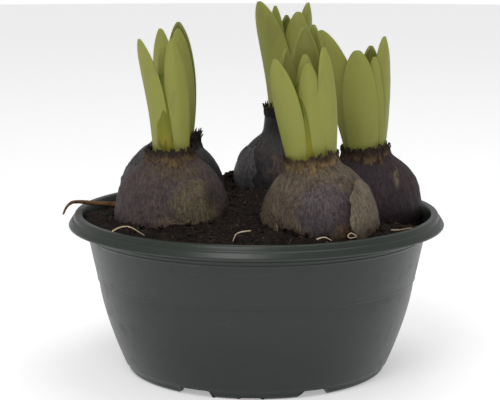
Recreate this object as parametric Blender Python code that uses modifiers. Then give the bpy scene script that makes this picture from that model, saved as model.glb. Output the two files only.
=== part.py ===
"""Potted hyacinths: five bulbs with leaf shoots, planted in a round plastic bowl.

Units are metres and +Z is up. The origin is on the ground, on the axis of the pot.
Sizes below are written in millimetres and multiplied by MM where a mesh is made.
"""

import math

import bmesh
import bpy
from mathutils import Matrix, Vector

MM = 0.001
TOUCH_GAP = 0.3

# Pot: outer wall radius against height, and the folded rim above it.
POT_SEGMENTS = 44
FOOT_RADIUS = 77.4
FOOT_CORNER = 3.0
FOOT_RING_WIDTH = 2.2
FOOT_HEIGHT = 5.2
BASE_RADIUS = 79.3
WALL = 1.8
STEP_Z = 57.5
STEP_RADIUS = 97.1
STEP_DEPTH = 0.9
BELLY_POWER = 1.45
RIM_BASE_Z = 88.5
RIM_BASE_RADIUS = 104.3
RIM_TOP_Z = 97.5
RIM_INNER_RADIUS = 106.9
RIM_OUTER_RADIUS = 111.1
LIP_RADIUS = 115.0
LIP_Z = 89.7
RIM_WALL = 1.7

# Drain notches through the foot ring: two deep ones in front, two behind.
NOTCH_ANGLES = (-27.0, 25.0)
NOTCH_WIDTH = 16.0
NOTCH_HEIGHT = 4.4

# Soil: a level and the mounds on it, as (x, y, height, spread).
SOIL_LEVEL = 92.0
SOIL_RINGS = 9
SOIL_LIP = 0.7
SOIL_MOUNDS = (
    (0.0, 15.0, 12.0, 52.0),
    (0.0, -104.0, 2.5, 22.0),
    (-50.0, -36.0, 8.0, 36.0),
    (38.0, -52.0, 4.0, 34.0),
    (95.0, -5.0, -6.0, 24.0),
    (0.0, 108.0, -4.0, 26.0),
    (-16.0, 68.0, 12.0, 7.5),
)

# Bulb outline from the neck down to the base, as (share of radius, share of height).
BULB_OUTLINE = (
    (0.50, 0.92),
    (0.68, 0.84),
    (0.86, 0.72),
    (0.97, 0.57),
    (1.00, 0.43),
    (0.94, 0.28),
    (0.76, 0.13),
    (0.42, 0.02),
)
BULB_SEGMENTS = 20
SOCKET_DEPTH = 5.0
SOCKET_WALL = 1.4

# Leaf blades.
LEAF_ROWS = 9
LEAF_COLUMNS = 4
LEAF_THICKNESS = 1.3
LEAF_END = 0.985
LEAF_SEAT = 0.9

SIMPLE_GREEN = (0.20, 0.26, 0.04)


class Plant:
    """One bulb: where its neck opens, how wide it is and how it stands."""

    def __init__(self, name, neck, belly, radius, height, neck_radius, colour, sheath=0.0):
        self.name = name
        self.neck = Vector(neck)
        self.belly = Vector(belly)
        self.radius = radius
        self.height = height
        self.neck_radius = neck_radius
        self.colour = colour
        self.sheath = sheath


PLANTS = (
    Plant("front_left", (-51.0, -36.0, 139.0), (-50.0, -35.0), 34.0, 66.0, 13.6, (0.09, 0.055, 0.045)),
    Plant("back_left", (-49.5, 36.0, 138.0), (-53.0, 36.0), 33.2, 65.0, 13.6, (0.07, 0.065, 0.06)),
    Plant("back", (19.5, 60.0, 153.0), (19.5, 60.0), 33.0, 66.0, 13.7, (0.05, 0.045, 0.045), 11.0),
    Plant("front_right", (31.5, -53.0, 138.0), (37.0, -52.0), 33.6, 67.0, 15.2, (0.13, 0.09, 0.065)),
    Plant("right", (67.5, 12.0, 133.5), (70.0, 12.0), 33.0, 64.0, 14.4, (0.055, 0.035, 0.035)),
)


class Leaf:
    """One strap leaf, from the socket of a bulb to its blunt tip.

    base and tip are the ends of its middle line. facing is the compass angle of its outer
    face, seen from above, with 0 towards +X and 90 towards +Y. bow pushes the middle of the
    line outwards, sway pushes it sideways, and hood curls the tip inwards.
    """

    def __init__(self, name, base, tip, width, facing, bow=0.0, sway=0.0, wrap=48.0,
                 hood=1.5, widest=0.48, foot=0.85, blunt=0.66):
        self.name = name
        self.base = Vector(base)
        self.tip = Vector(tip)
        self.width = width
        self.facing = math.radians(facing)
        self.bow = bow
        self.sway = sway
        self.wrap = math.radians(wrap)
        self.hood = hood
        self.widest = widest
        self.foot = foot
        self.blunt = blunt

    def outward(self):
        return Vector((math.cos(self.facing), math.sin(self.facing), 0.0))

    def middle(self, along):
        """The middle line at a share of the length."""
        out = self.outward()
        side = Vector((-out.y, out.x, 0.0))
        arch = math.sin(math.pi * along ** 0.9)
        curl = max(0.0, (along - 0.86) / 0.14) ** 2
        return self.base.lerp(self.tip, along) + out * (self.bow * arch - self.hood * curl) + side * self.sway * arch

    def half_width(self, along):
        """Half of the chord across the blade at a share of the length."""
        if along < self.widest:
            rise = math.sin(0.5 * math.pi * along / self.widest)
            return 0.5 * self.width * (self.foot + (1.0 - self.foot) * rise)
        left = (1.0 - along) / (1.0 - self.widest)
        return 0.5 * self.width * (1.0 - (1.0 - left) ** 2) ** self.blunt

    def point(self, along, across):
        """A point of the outer face: along from 0 to 1, across from -1 to 1."""
        step = 0.01
        ahead = self.middle(min(along + step, 1.0))
        behind = self.middle(max(along - step, 0.0))
        up = (ahead - behind).normalized()
        out = self.outward()
        out = (out - up * out.dot(up)).normalized()
        side = up.cross(out)
        bend = self.half_width(along) / math.sin(self.wrap)
        angle = across * self.wrap
        return self.middle(along) + side * bend * math.sin(angle) - out * bend * (1.0 - math.cos(angle))


# Leaves of each shoot, with places in millimetres from the pot's own origin.
LEAVES = {
    "front_left": (
        Leaf("left", (-57.4, -42.6), (-69.5, -42.0, 205.5), 13.4, 222, bow=-2.6, sway=1.6, wrap=40),
        Leaf("front", (-45.6, -42.6), (-49.4, -41.6, 205.6), 14.2, 282, bow=0.6, sway=1.2, wrap=44),
        Leaf("inner", (-51.6, -34.8), (-55.4, -33.0, 202.6), 7.6, 262, wrap=36, foot=0.7),
        Leaf("back", (-50.0, -27.6), (-47.0, -27.0, 203.0), 14.0, 84, bow=0.8),
    ),
    "back_left": (
        Leaf("left", (-57.6, 36.6), (-62.0, 36.0, 206.2), 12.5, 196, bow=-0.6, hood=1.0),
        Leaf("front", (-45.0, 28.6), (-48.5, 29.4, 206.3), 17.4, 288, bow=1.0, sway=0.8, foot=0.72),
        Leaf("back", (-46.5, 45.4), (-48.8, 44.3, 209.7), 18.4, 82, bow=1.2, sway=-0.6, foot=0.7),
    ),
    "back": (
        Leaf("left", (13.6, 52.4), (0.6, 49.4, 222.0), 19.6, 238, bow=-3.6, sway=2.6, wrap=42, foot=0.72),
        Leaf("left_inner", (13.4, 64.0), (10.4, 62.5, 219.0), 9.6, 165, foot=0.7),
        Leaf("front", (25.8, 55.2), (25.7, 56.0, 215.2), 14.8, 284, bow=0.4, foot=0.62),
        Leaf("right", (28.3, 64.2), (34.8, 65.0, 220.6), 11.6, 352, bow=-0.6, wrap=52, foot=0.68),
        Leaf("back", (18.9, 71.2), (19.6, 73.2, 213.0), 15.0, 95, bow=0.8, foot=0.72),
    ),
    "front_right": (
        Leaf("left", (23.0, -60.8), (8.9, -61.4, 195.3), 17.2, 236, bow=-0.6, sway=0.6, wrap=38, foot=0.66),
        Leaf("left_inner", (21.6, -52.2), (14.4, -51.6, 200.2), 10.8, 180, bow=0.2, wrap=38, foot=0.7),
        Leaf("back", (30.2, -42.8), (27.0, -40.8, 212.8), 19.4, 98, bow=0.8, wrap=40, foot=0.66),
        Leaf("front", (33.0, -61.4), (28.6, -58.6, 192.9), 12.8, 268, bow=0.4, wrap=46, foot=0.74),
        Leaf("inner", (30.8, -54.2), (27.8, -52.6, 197.3), 10.6, 265, bow=0.4, wrap=36, foot=0.7),
        Leaf("right", (43.0, -57.0), (38.9, -57.0, 201.7), 11.4, 318, bow=1.8, wrap=42, foot=0.66, blunt=0.6),
        Leaf("right_inner", (38.2, -42.5), (34.2, -34.2, 210.0), 10.8, 58, bow=0.6, wrap=40, foot=0.72),
    ),
    "right": (
        Leaf("left", (59.0, 15.6), (37.0, 13.6, 205.5), 16.4, 196, bow=-5.2, sway=0.5, wrap=38, foot=0.64),
        Leaf("front", (65.0, 1.8), (60.5, 3.6, 194.8), 20.4, 262, bow=0.6, wrap=46, foot=0.72, blunt=0.6),
        Leaf("back", (68.6, 22.2), (70.3, 18.6, 196.7), 14.0, 96, bow=1.0, foot=0.8),
        Leaf("inner", (74.5, 7.9), (71.7, 7.0, 190.5), 7.6, 280, bow=0.8, wrap=36, foot=0.7),
        Leaf("right", (78.2, 14.8), (79.8, 14.8, 202.4), 12.0, 348, bow=1.8, wrap=44, foot=0.7),
    ),
}

# Dry roots lying on the soil and over the rim, as (radius, route).
ROOTS = {
    "root_over_rim": (1.2, (
        (-84.0, 10.0, 98.8), (-92.0, 12.0, 98.8), (-99.0, 12.0, 99.2), (-105.5, 10.5, 100.2),
        (-110.5, 7.0, 101.2), (-114.0, 1.0, 101.6), (-116.2, -6.0, 100.0), (-117.4, -13.0, 97.2),
    )),
    "root_left": (0.5, (
        (-82.5, -72.5, 98.3), (-79.5, -74.5, 100.4), (-76.0, -76.5, 101.8), (-72.0, -78.0, 101.8),
        (-68.0, -80.5, 100.2), (-63.5, -84.0, 98.2),
    )),
    "root_front": (0.5, (
        (-3.5, -91.5, 102.2), (-8.0, -93.5, 102.2), (-11.5, -95.0, 101.2), (-12.6, -96.6, 99.4),
        (-13.4, -98.0, 97.6),
    )),
    "root_curl": (0.5, ((33.0, -97.5, 98.6), (36.5, -97.0, 99.6), (39.0, -97.5, 99.4), (41.5, -98.5, 98.2))),
    "root_hook": (0.5, (
        (56.0, -86.5, 98.4), (53.0, -88.0, 100.2), (51.2, -90.0, 99.4), (52.0, -91.6, 98.2), (56.0, -91.4, 98.8),
    )),
    "root_right": (0.5, ((78.0, -59.5, 96.4), (82.5, -61.0, 96.8), (86.0, -62.5, 97.8), (89.5, -64.0, 98.6))),
}
ROOT_COLOUR = (0.42, 0.33, 0.20)


def clear_scene():
    for old in list(bpy.data.objects):
        bpy.data.objects.remove(old, do_unlink=True)


def new_collection(name):
    collection = bpy.data.collections.new(name)
    bpy.context.scene.collection.children.link(collection)
    return collection


def add_object(name, mesh, collection):
    made = bpy.data.objects.new(name, mesh)
    collection.objects.link(made)
    return made


def give_material(piece, colour, roughness):
    material = bpy.data.materials.new(piece.name)
    material.use_nodes = True
    shader = material.node_tree.nodes["Principled BSDF"]
    shader.inputs["Base Color"].default_value = (*colour, 1.0)
    shader.inputs["Roughness"].default_value = roughness
    shader.inputs["Metallic"].default_value = 0.0
    piece.data.materials.append(material)


def turned(name, profile, segments, collection):
    """A body of revolution from a profile of (radius, height) points, in millimetres."""
    mesh = bpy.data.meshes.new(name)
    points = [(radius * MM, 0.0, height * MM) for radius, height in profile]
    mesh.from_pydata(points, [(i, i + 1) for i in range(len(points) - 1)], [])
    piece = add_object(name, mesh, collection)
    screw = piece.modifiers.new("turn", "SCREW")
    screw.steps = segments
    screw.render_steps = segments
    screw.use_merge_vertices = True
    screw.merge_threshold = 0.00001
    screw.use_smooth_shade = True
    return piece


def cut(piece, cutter):
    boolean = piece.modifiers.new("cut_" + cutter.name, "BOOLEAN")
    boolean.operation = "DIFFERENCE"
    boolean.solver = "EXACT"
    boolean.object = cutter


def outer_wall(height):
    """Outer radius of the pot's bowl at a height, below the rim."""
    if height <= STEP_Z:
        share = 1.0 - height / STEP_Z
        return STEP_RADIUS - (STEP_RADIUS - BASE_RADIUS) * share ** BELLY_POWER
    upper_foot = STEP_RADIUS + STEP_DEPTH
    slope = (RIM_BASE_RADIUS - upper_foot) / (RIM_BASE_Z - STEP_Z - 1.0)
    return upper_foot + slope * (height - STEP_Z - 1.0)


def inner_wall(height):
    """Inner radius of the pot at a height, up to the top of the rim."""
    if height <= RIM_BASE_Z:
        return outer_wall(height) - WALL
    flare = (RIM_INNER_RADIUS - RIM_BASE_RADIUS + WALL) / (RIM_TOP_Z - RIM_BASE_Z)
    return RIM_BASE_RADIUS - WALL + flare * (height - RIM_BASE_Z)


def inner_heights():
    """Heights where the inside of the wall has a bend."""
    return (14.0, 28.0, 43.0, STEP_Z, STEP_Z + 1.0, RIM_BASE_Z)


def make_pot(parts, cutters):
    floor_top = FOOT_HEIGHT + WALL
    profile = [(0.0, floor_top), (BASE_RADIUS - 7.0, floor_top), (BASE_RADIUS - 1.5, floor_top + 2.2)]
    profile += [(inner_wall(height), height) for height in inner_heights()]
    profile += [
        (RIM_INNER_RADIUS, RIM_TOP_Z),
        (RIM_OUTER_RADIUS, RIM_TOP_Z),
        (LIP_RADIUS - 2.4, LIP_Z + 4.2),
        (LIP_RADIUS, LIP_Z + 0.7),
        (LIP_RADIUS - RIM_WALL, LIP_Z),
        (RIM_OUTER_RADIUS - 1.3, RIM_TOP_Z - RIM_WALL - 0.4),
        (RIM_INNER_RADIUS + 0.7, RIM_TOP_Z - RIM_WALL - 0.4),
        (RIM_BASE_RADIUS, RIM_BASE_Z),
    ]
    profile += [(outer_wall(height), height) for height in (STEP_Z + 1.0, STEP_Z, 45.0, 32.0, 20.0, 9.0)]
    profile += [
        (FOOT_RADIUS + 2.2, FOOT_CORNER),
        (FOOT_RADIUS, 0.0),
        (FOOT_RADIUS - FOOT_RING_WIDTH, 0.0),
        (FOOT_RADIUS - FOOT_RING_WIDTH, FOOT_HEIGHT),
        (0.0, FOOT_HEIGHT),
    ]
    pot = turned("pot", profile, POT_SEGMENTS, parts)
    give_material(pot, (0.018, 0.032, 0.026), 0.38)
    for turn in (0.0, 180.0):
        for angle in NOTCH_ANGLES:
            cut(pot, make_notch(math.radians(angle + turn), cutters))
    return pot


def make_notch(angle, cutters):
    """A block across the foot ring. Angle 0 is the front of the pot, at -Y."""
    mesh = bpy.data.meshes.new("notch")
    shape = bmesh.new()
    bmesh.ops.create_cube(shape, size=1.0)
    depth = 9.0
    size = Matrix.Diagonal((NOTCH_WIDTH * MM, depth * MM, 2.0 * NOTCH_HEIGHT * MM, 1.0))
    out = Matrix.Translation((0.0, -FOOT_RADIUS * MM, 0.0))
    bmesh.ops.transform(shape, matrix=Matrix.Rotation(angle, 4, "Z") @ out @ size, verts=shape.verts)
    shape.to_mesh(mesh)
    shape.free()
    cutter = add_object("notch", mesh, cutters)
    hide_cutter(cutter)
    return cutter


def hide_cutter(cutter):
    cutter.hide_render = True
    cutter.display_type = "WIRE"


def soil_height(x, y):
    """Height of the soil at a place, in millimetres."""
    height = SOIL_LEVEL
    for mound_x, mound_y, rise, spread in SOIL_MOUNDS:
        distance = (x - mound_x) ** 2 + (y - mound_y) ** 2
        height += rise * math.exp(-distance / (2.0 * spread ** 2))
    return height


def make_soil(parts, bulb_cutters):
    """A turned plug that fills the pot, with its top pressed into mounds."""
    floor = FOOT_HEIGHT + WALL + TOUCH_GAP
    edge = inner_wall(RIM_BASE_Z) - TOUCH_GAP
    top = [(edge * ring / SOIL_RINGS, SOIL_LEVEL) for ring in range(SOIL_RINGS)]
    side = [(inner_wall(height) - TOUCH_GAP, height) for height in reversed(inner_heights())]
    bottom = [(BASE_RADIUS - 7.0 - TOUCH_GAP, floor), (0.0, floor)]
    rim = (inner_wall(SOIL_LEVEL) - TOUCH_GAP, SOIL_LEVEL)
    profile = top + [rim] + side + [(BASE_RADIUS - 1.5 - TOUCH_GAP, floor + 2.2)] + bottom

    shape = bmesh.new()
    line = [shape.verts.new((radius * MM, 0.0, height * MM)) for radius, height in profile]
    edges = [shape.edges.new(pair) for pair in zip(line, line[1:])]
    bmesh.ops.spin(
        shape, geom=line + edges, cent=(0, 0, 0), axis=(0, 0, 1),
        angle=2.0 * math.pi, steps=POT_SEGMENTS, use_merge=True,
    )
    bmesh.ops.remove_doubles(shape, verts=shape.verts, dist=0.00001)
    for vert in shape.verts:
        if vert.co.z < (SOIL_LEVEL - 0.01) * MM:
            continue
        x, y = vert.co.x / MM, vert.co.y / MM
        height = soil_height(x, y)
        if math.hypot(x, y) > edge:
            height = max(height, RIM_BASE_Z + SOIL_LIP)
            reach = (inner_wall(height) - TOUCH_GAP) / math.hypot(x, y)
            vert.co.x *= reach
            vert.co.y *= reach
        vert.co.z = height * MM
    bmesh.ops.recalc_face_normals(shape, faces=shape.faces)
    mesh = bpy.data.meshes.new("soil")
    shape.to_mesh(mesh)
    shape.free()
    soil = add_object("soil", mesh, parts)
    give_material(soil, (0.045, 0.028, 0.02), 0.95)
    for cutter in bulb_cutters:
        cut(soil, cutter)
    return soil


def bulb_profile(plant, extra):
    """Profile of a bulb about its own axis, with z = 0 at its base and extra all round it."""
    body_top = plant.height
    neck_top = plant.height + plant.sheath
    outline = [(share * plant.radius + extra, level * body_top) for share, level in BULB_OUTLINE]
    neck = [(plant.neck_radius + extra, neck_top + extra)]
    if plant.sheath > 0.0:
        neck.append((plant.neck_radius + 0.8 + extra, body_top))
    return neck + outline + [(0.0, -extra)]


def bulb_place(plant):
    """Matrix that stands a bulb with its belly and its neck where the plant says."""
    rise = plant.height + plant.sheath
    belly_level = rise - 0.43 * plant.height
    lean = Vector((plant.neck.x - plant.belly.x, plant.neck.y - plant.belly.y, belly_level))
    axis = lean.normalized()
    turn = Vector((0.0, 0.0, 1.0)).rotation_difference(axis).to_matrix().to_4x4()
    base = plant.neck - axis * rise
    return Matrix.Translation(base * MM) @ turn


def make_bulb(plant, parts, cutters):
    """The bulb with a shallow socket in its neck, and the cutter that beds it in the soil."""
    neck_top = plant.height + plant.sheath
    socket = plant.neck_radius - SOCKET_WALL
    inside = [(0.0, neck_top - SOCKET_DEPTH), (socket, neck_top - SOCKET_DEPTH), (socket, neck_top)]
    bulb = turned("bulb_" + plant.name, inside + bulb_profile(plant, 0.0), BULB_SEGMENTS, parts)
    bulb.matrix_world = bulb_place(plant)
    give_material(bulb, plant.colour, 0.6)
    solid = [(0.0, neck_top + TOUCH_GAP)] + bulb_profile(plant, TOUCH_GAP)
    cutter = turned("bed_" + plant.name, solid, BULB_SEGMENTS, cutters)
    cutter.matrix_world = bulb_place(plant)
    hide_cutter(cutter)
    return cutter


def seat_in_socket(plant, place):
    """The point just above the floor of the bulb's socket at a place given as (x, y)."""
    axis = bulb_place(plant).to_3x3() @ Vector((0.0, 0.0, 1.0))
    floor = plant.neck - axis * (SOCKET_DEPTH - LEAF_SEAT)
    drop = ((place[0] - floor.x) * axis.x + (place[1] - floor.y) * axis.y) / axis.z
    return Vector((place[0], place[1], floor.z - drop))


def make_leaf(plant, leaf, parts):
    """A bent grid given its thickness towards the inside of the shoot."""
    leaf.base = seat_in_socket(plant, leaf.base)
    shape = bmesh.new()
    bmesh.ops.create_grid(shape, x_segments=LEAF_COLUMNS, y_segments=LEAF_ROWS, size=1.0)
    for vert in shape.verts:
        share = 0.5 * (vert.co.y + 1.0)
        along = LEAF_END * (1.0 - (1.0 - share) ** 1.35)
        vert.co = leaf.point(along, vert.co.x) * MM
    mesh = bpy.data.meshes.new("leaf")
    shape.to_mesh(mesh)
    shape.free()
    mesh.shade_smooth()
    blade = add_object("leaf_" + plant.name + "_" + leaf.name, mesh, parts)
    solidify = blade.modifiers.new("thickness", "SOLIDIFY")
    solidify.thickness = LEAF_THICKNESS * MM
    solidify.offset = -1.0
    give_material(blade, SIMPLE_GREEN, 0.42)
    return blade


def make_root(name, radius, route, parts):
    """A thin tapering tube along its route."""
    curve = bpy.data.curves.new(name, "CURVE")
    curve.dimensions = "3D"
    curve.bevel_depth = radius * MM
    curve.bevel_resolution = 1
    curve.use_fill_caps = True
    spline = curve.splines.new("POLY")
    spline.points.add(len(route) - 1)
    for index, (point, place) in enumerate(zip(spline.points, route)):
        point.co = (*(Vector(place) * MM), 1.0)
        point.radius = 1.0 - 0.5 * index / (len(route) - 1)
    root = add_object(name, curve, parts)
    give_material(root, ROOT_COLOUR, 0.8)
    return root


def main():
    clear_scene()
    parts = new_collection("potted_hyacinths")
    cutters = new_collection("cutters")
    make_pot(parts, cutters)
    beds = [make_bulb(plant, parts, cutters) for plant in PLANTS]
    make_soil(parts, beds)
    for plant in PLANTS:
        for leaf in LEAVES[plant.name]:
            make_leaf(plant, leaf, parts)
    for name, (radius, route) in ROOTS.items():
        make_root(name, radius, route, parts)
    bpy.context.view_layer.update()


main()
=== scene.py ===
"""Potted hyacinths: five sprouting bulbs in a dark green plastic bowl of peat.

Everything stands in the part's own frame, in metres: the ground is z = 0 and the axis of the
bowl is x = y = 0, with the front at -Y. The sizes in the classes are in millimetres and are
multiplied by MM where a mesh is made.
"""

import logging
import math
import random
from collections.abc import Callable, Iterable, Sequence
from dataclasses import dataclass
from enum import Enum

import bmesh
import bpy
from mathutils import Matrix, Vector, noise


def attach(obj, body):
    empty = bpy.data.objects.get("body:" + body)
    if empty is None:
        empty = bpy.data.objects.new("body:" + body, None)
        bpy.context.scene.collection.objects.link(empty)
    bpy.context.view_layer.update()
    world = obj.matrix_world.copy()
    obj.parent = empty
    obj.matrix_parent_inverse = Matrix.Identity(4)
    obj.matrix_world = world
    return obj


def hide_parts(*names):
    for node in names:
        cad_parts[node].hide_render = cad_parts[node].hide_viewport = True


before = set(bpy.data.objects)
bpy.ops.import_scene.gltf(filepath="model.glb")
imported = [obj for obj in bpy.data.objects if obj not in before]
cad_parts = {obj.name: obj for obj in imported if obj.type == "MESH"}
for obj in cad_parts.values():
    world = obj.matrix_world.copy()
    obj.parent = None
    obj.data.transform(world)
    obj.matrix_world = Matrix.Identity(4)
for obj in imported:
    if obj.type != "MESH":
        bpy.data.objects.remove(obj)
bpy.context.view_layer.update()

MM = 0.001
BODY = "root"
LOG = logging.getLogger("hyacinths")

Triple = tuple[float, float, float]
Colour = tuple[float, float, float]
Shape = bmesh.types.BMesh
Piece = bpy.types.Object
Material = bpy.types.Material
Node = bpy.types.Node
Socket = bpy.types.NodeSocket
Tree = bpy.types.NodeTree


class Slot(Enum):
    """The record's material slots."""

    BOWL = "pot_plastic"
    PEAT = "peat"
    BULB = "bulb_skin"
    LEAF = "leaf_blade"
    ROOT = "dry_root"


# ---------------------------------------------------------------- numbers


def smoothstep(low: float, high: float, value: float) -> float:
    """Rise smoothly from 0 at low to 1 at high.

    Args:
        low: Where the rise starts.
        high: Where the rise ends.
        value: Where to read it.

    Returns:
        A share from 0 to 1.
    """
    share = min(1.0, max(0.0, (value - low) / (high - low)))
    return share * share * (3.0 - 2.0 * share)


def lumps(place: Vector, size: float, octaves: int = 3, seed: float = 0.0) -> float:
    """Smooth noise of about -1 to 1.

    Args:
        place: Point in millimetres.
        size: Size of the largest lumps in millimetres.
        octaves: How many finer layers are added.
        seed: Shifts the pattern.

    Returns:
        The noise at the point.
    """
    shift = Vector((seed * 3.17, seed * 1.73, seed * 2.39))
    return noise.fractal(place / size + shift, 0.9, 2.1, octaves)


# ---------------------------------------------------------------- objects


def as_object(name: str, shape: Shape, materials: Sequence[Material]) -> Piece:
    """Turn a bmesh into a smooth-shaded object at the origin.

    Args:
        name: Name of the piece.
        shape: The bmesh, in metres, which is freed.
        materials: Its materials in order.

    Returns:
        The new object.
    """
    mesh = bpy.data.meshes.new(name)
    shape.to_mesh(mesh)
    shape.free()
    mesh.shade_smooth()
    for material in materials:
        mesh.materials.append(material)
    piece = bpy.data.objects.new(name, mesh)
    bpy.context.scene.collection.objects.link(piece)
    return piece


def hand_over(piece: Piece, nodes: Iterable[str] = ()) -> Piece:
    """Ride the piece on the plant's one body and hide the solids that it stands for.

    Args:
        piece: The finished piece.
        nodes: Names of the solids that it stands for.

    Returns:
        The same piece.
    """
    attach(piece, BODY)
    for node in nodes:
        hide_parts(node)
    LOG.info("%s: %d faces", piece.name, len(piece.data.polygons))
    return piece


def turned(profile: Sequence[tuple[float, float]], steps: int) -> Shape:
    """Spin a profile of (radius, height) points about the vertical axis.

    Args:
        profile: Points in millimetres; a radius of 0 closes the shape on the axis.
        steps: Steps round the axis.

    Returns:
        The turned shape, in millimetres.
    """
    shape = bmesh.new()
    line = [shape.verts.new((radius, 0.0, height)) for radius, height in profile]
    edges = [shape.edges.new(pair) for pair in zip(line, line[1:])]
    bmesh.ops.spin(
        shape, geom=line + edges, cent=(0, 0, 0), axis=(0, 0, 1),
        angle=2.0 * math.pi, steps=steps, use_merge=True,
    )
    bmesh.ops.remove_doubles(shape, verts=shape.verts, dist=0.0005)
    bmesh.ops.recalc_face_normals(shape, faces=shape.faces)
    return shape


def in_metres(shape: Shape) -> Shape:
    """Scale a shape from millimetres to metres."""
    bmesh.ops.scale(shape, vec=(MM, MM, MM), verts=shape.verts)
    return shape


def smooth_line(points: Sequence[Sequence[float]], steps: int) -> list[Vector]:
    """Pass a smooth line through points.

    Args:
        points: Points of two or three numbers.
        steps: Steps between two points.

    Returns:
        The points of the line.
    """
    corners = [Vector((*point, 0.0)[:3]) for point in points]
    ends = [corners[0] * 2.0 - corners[1], *corners, corners[-1] * 2.0 - corners[-2]]
    line = []
    for before, start, end, after in zip(ends, ends[1:], ends[2:], ends[3:]):
        for step in range(steps):
            t = step / steps
            pull = (end - before) * 0.5
            push = (after - start) * 0.5
            line.append(
                start * (2 * t**3 - 3 * t**2 + 1) + pull * (t**3 - 2 * t**2 + t)
                + end * (3 * t**2 - 2 * t**3) + push * (t**3 - t**2)
            )
    return [*line, corners[-1]]


def tube(shape: Shape, route: Sequence[Vector], radii: Callable[[float], float], sides: int) -> None:
    """Add a closed tube along a route.

    Args:
        shape: Where it is added.
        route: Points in millimetres.
        radii: Radius at a share of the length.
        sides: Corners of its section.
    """
    rings = []
    side = Vector((0.31, 0.52, 0.79))
    for index, point in enumerate(route):
        ahead = route[min(index + 1, len(route) - 1)] - route[max(index - 1, 0)]
        ahead.normalize()
        side = (side - ahead * side.dot(ahead)).normalized()
        turn = Matrix((side, ahead.cross(side), ahead)).transposed().to_4x4()
        radius = radii(index / (len(route) - 1))
        made = bmesh.ops.create_circle(
            shape, segments=sides, radius=radius, matrix=Matrix.Translation(point) @ turn,
            cap_ends=index in (0, len(route) - 1),
        )
        rings.append([vert for vert in made["verts"]])
    for lower, upper in zip(rings, rings[1:]):
        edges = {edge for ring in (lower, upper) for vert in ring for edge in vert.link_edges
                 if edge.other_vert(vert) in ring}
        bmesh.ops.bridge_loops(shape, edges=list(edges))


# ---------------------------------------------------------------- shader wiring


class Wiring:
    """Adds shader nodes to a tree and joins their sockets."""

    def __init__(self, tree: Tree) -> None:
        """Keep the tree that the nodes go into."""
        self.tree = tree

    def node(self, kind: str, inputs: dict | None = None, **settings: object) -> Node:
        """Add a node.

        Args:
            kind: Blender's name of the node's type.
            inputs: Socket name or number to a value or to an output socket.
            settings: Properties of the node.

        Returns:
            The new node.
        """
        made = self.tree.nodes.new(kind)
        for name, value in settings.items():
            setattr(made, name, value)
        for key, value in (inputs or {}).items():
            if isinstance(value, Socket):
                self.tree.links.new(value, made.inputs[key])
            else:
                made.inputs[key].default_value = value
        return made

    def math(self, operation: str, first: object, second: object = 0.0) -> Socket:
        """Work out one number from one or two."""
        return self.node("ShaderNodeMath", {0: first, 1: second}, operation=operation).outputs[0]

    def times(self, first: object, second: object) -> Socket:
        """Multiply two numbers."""
        return self.math("MULTIPLY", first, second)

    def noise(self, vector: object, scale: object, detail: object = 3.0, bend: object = 0.0) -> Socket:
        """Add a noise.

        Args:
            vector: Where it is read.
            scale: Lumps per unit of the vector.
            detail: How many finer layers are added.
            bend: How strongly it is distorted.

        Returns:
            The noise, from 0 to 1.
        """
        made = self.node(
            "ShaderNodeTexNoise",
            {"Vector": vector, "Scale": scale, "Detail": detail, "Distortion": bend},
        )
        return made.outputs["Fac"]

    def ramp(self, value: object, low: object, high: object, start: float = 0.0, end: float = 1.0) -> Socket:
        """Map low..high to start..end with a smooth rise.

        Args:
            value: What is mapped.
            low: Where the rise starts.
            high: Where it ends.
            start: Result at low and below.
            end: Result at high and above.

        Returns:
            The mapped number.
        """
        made = self.node(
            "ShaderNodeMapRange",
            {"Value": value, "From Min": low, "From Max": high, "To Min": start, "To Max": end},
            interpolation_type="SMOOTHSTEP",
        )
        return made.outputs["Result"]

    def mix(self, share: object, first: object, second: object) -> Socket:
        """Mix two colours by a share."""
        return self.blend(share, first, second, "MIX")

    def blend(self, share: object, first: object, second: object, kind: str) -> Socket:
        """Blend two colours.

        Args:
            share: How strongly the second colour counts.
            first: First colour, a socket or three numbers.
            second: Second colour, a socket or three numbers.
            kind: Blender's name of the way of blending.

        Returns:
            The blended colour.
        """
        made = self.node("ShaderNodeMix", data_type="RGBA", blend_type=kind)
        for index, value in ((0, share), (6, first), (7, second)):
            if isinstance(value, Socket):
                self.tree.links.new(value, made.inputs[index])
            elif index == 0:
                made.inputs[index].default_value = value
            else:
                made.inputs[index].default_value = (*value, 1.0)
        return made.outputs[2]

    def stretched(self, vector: object, scale: Triple, turn: Triple = (0.0, 0.0, 0.0)) -> Socket:
        """Scale and turn a vector."""
        made = self.node("ShaderNodeMapping", {"Vector": vector, "Scale": scale, "Rotation": turn})
        return made.outputs["Vector"]


def new_group(name: str, inputs: dict[str, object], outputs: dict[str, str]) -> tuple[Wiring, dict, Node]:
    """Start a shader node group with named sockets.

    Args:
        name: Name of the group.
        inputs: Socket name to its default, a number or a vector.
        outputs: Socket name to its type, "Float", "Vector" or "Color".

    Returns:
        The wiring of the group, its inputs by name and its output node.
    """
    tree = bpy.data.node_groups.new(name, "ShaderNodeTree")
    for label, value in inputs.items():
        kind = "NodeSocketFloat" if isinstance(value, float) else "NodeSocketVector"
        socket = tree.interface.new_socket(name=label, in_out="INPUT", socket_type=kind)
        socket.default_value = value
    for label, kind in outputs.items():
        tree.interface.new_socket(name=label, in_out="OUTPUT", socket_type="NodeSocket" + kind)
    wiring = Wiring(tree)
    source = wiring.node("NodeGroupInput")
    sink = wiring.node("NodeGroupOutput")
    return wiring, {label: source.outputs[label] for label in inputs}, sink


def join(wiring: Wiring, sink: Node, **values: Socket) -> Tree:
    """Join values to a group's outputs by name, with spaces for underscores."""
    for label, value in values.items():
        wiring.tree.links.new(value, sink.inputs[label.replace("_", " ")])
    return wiring.tree


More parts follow.
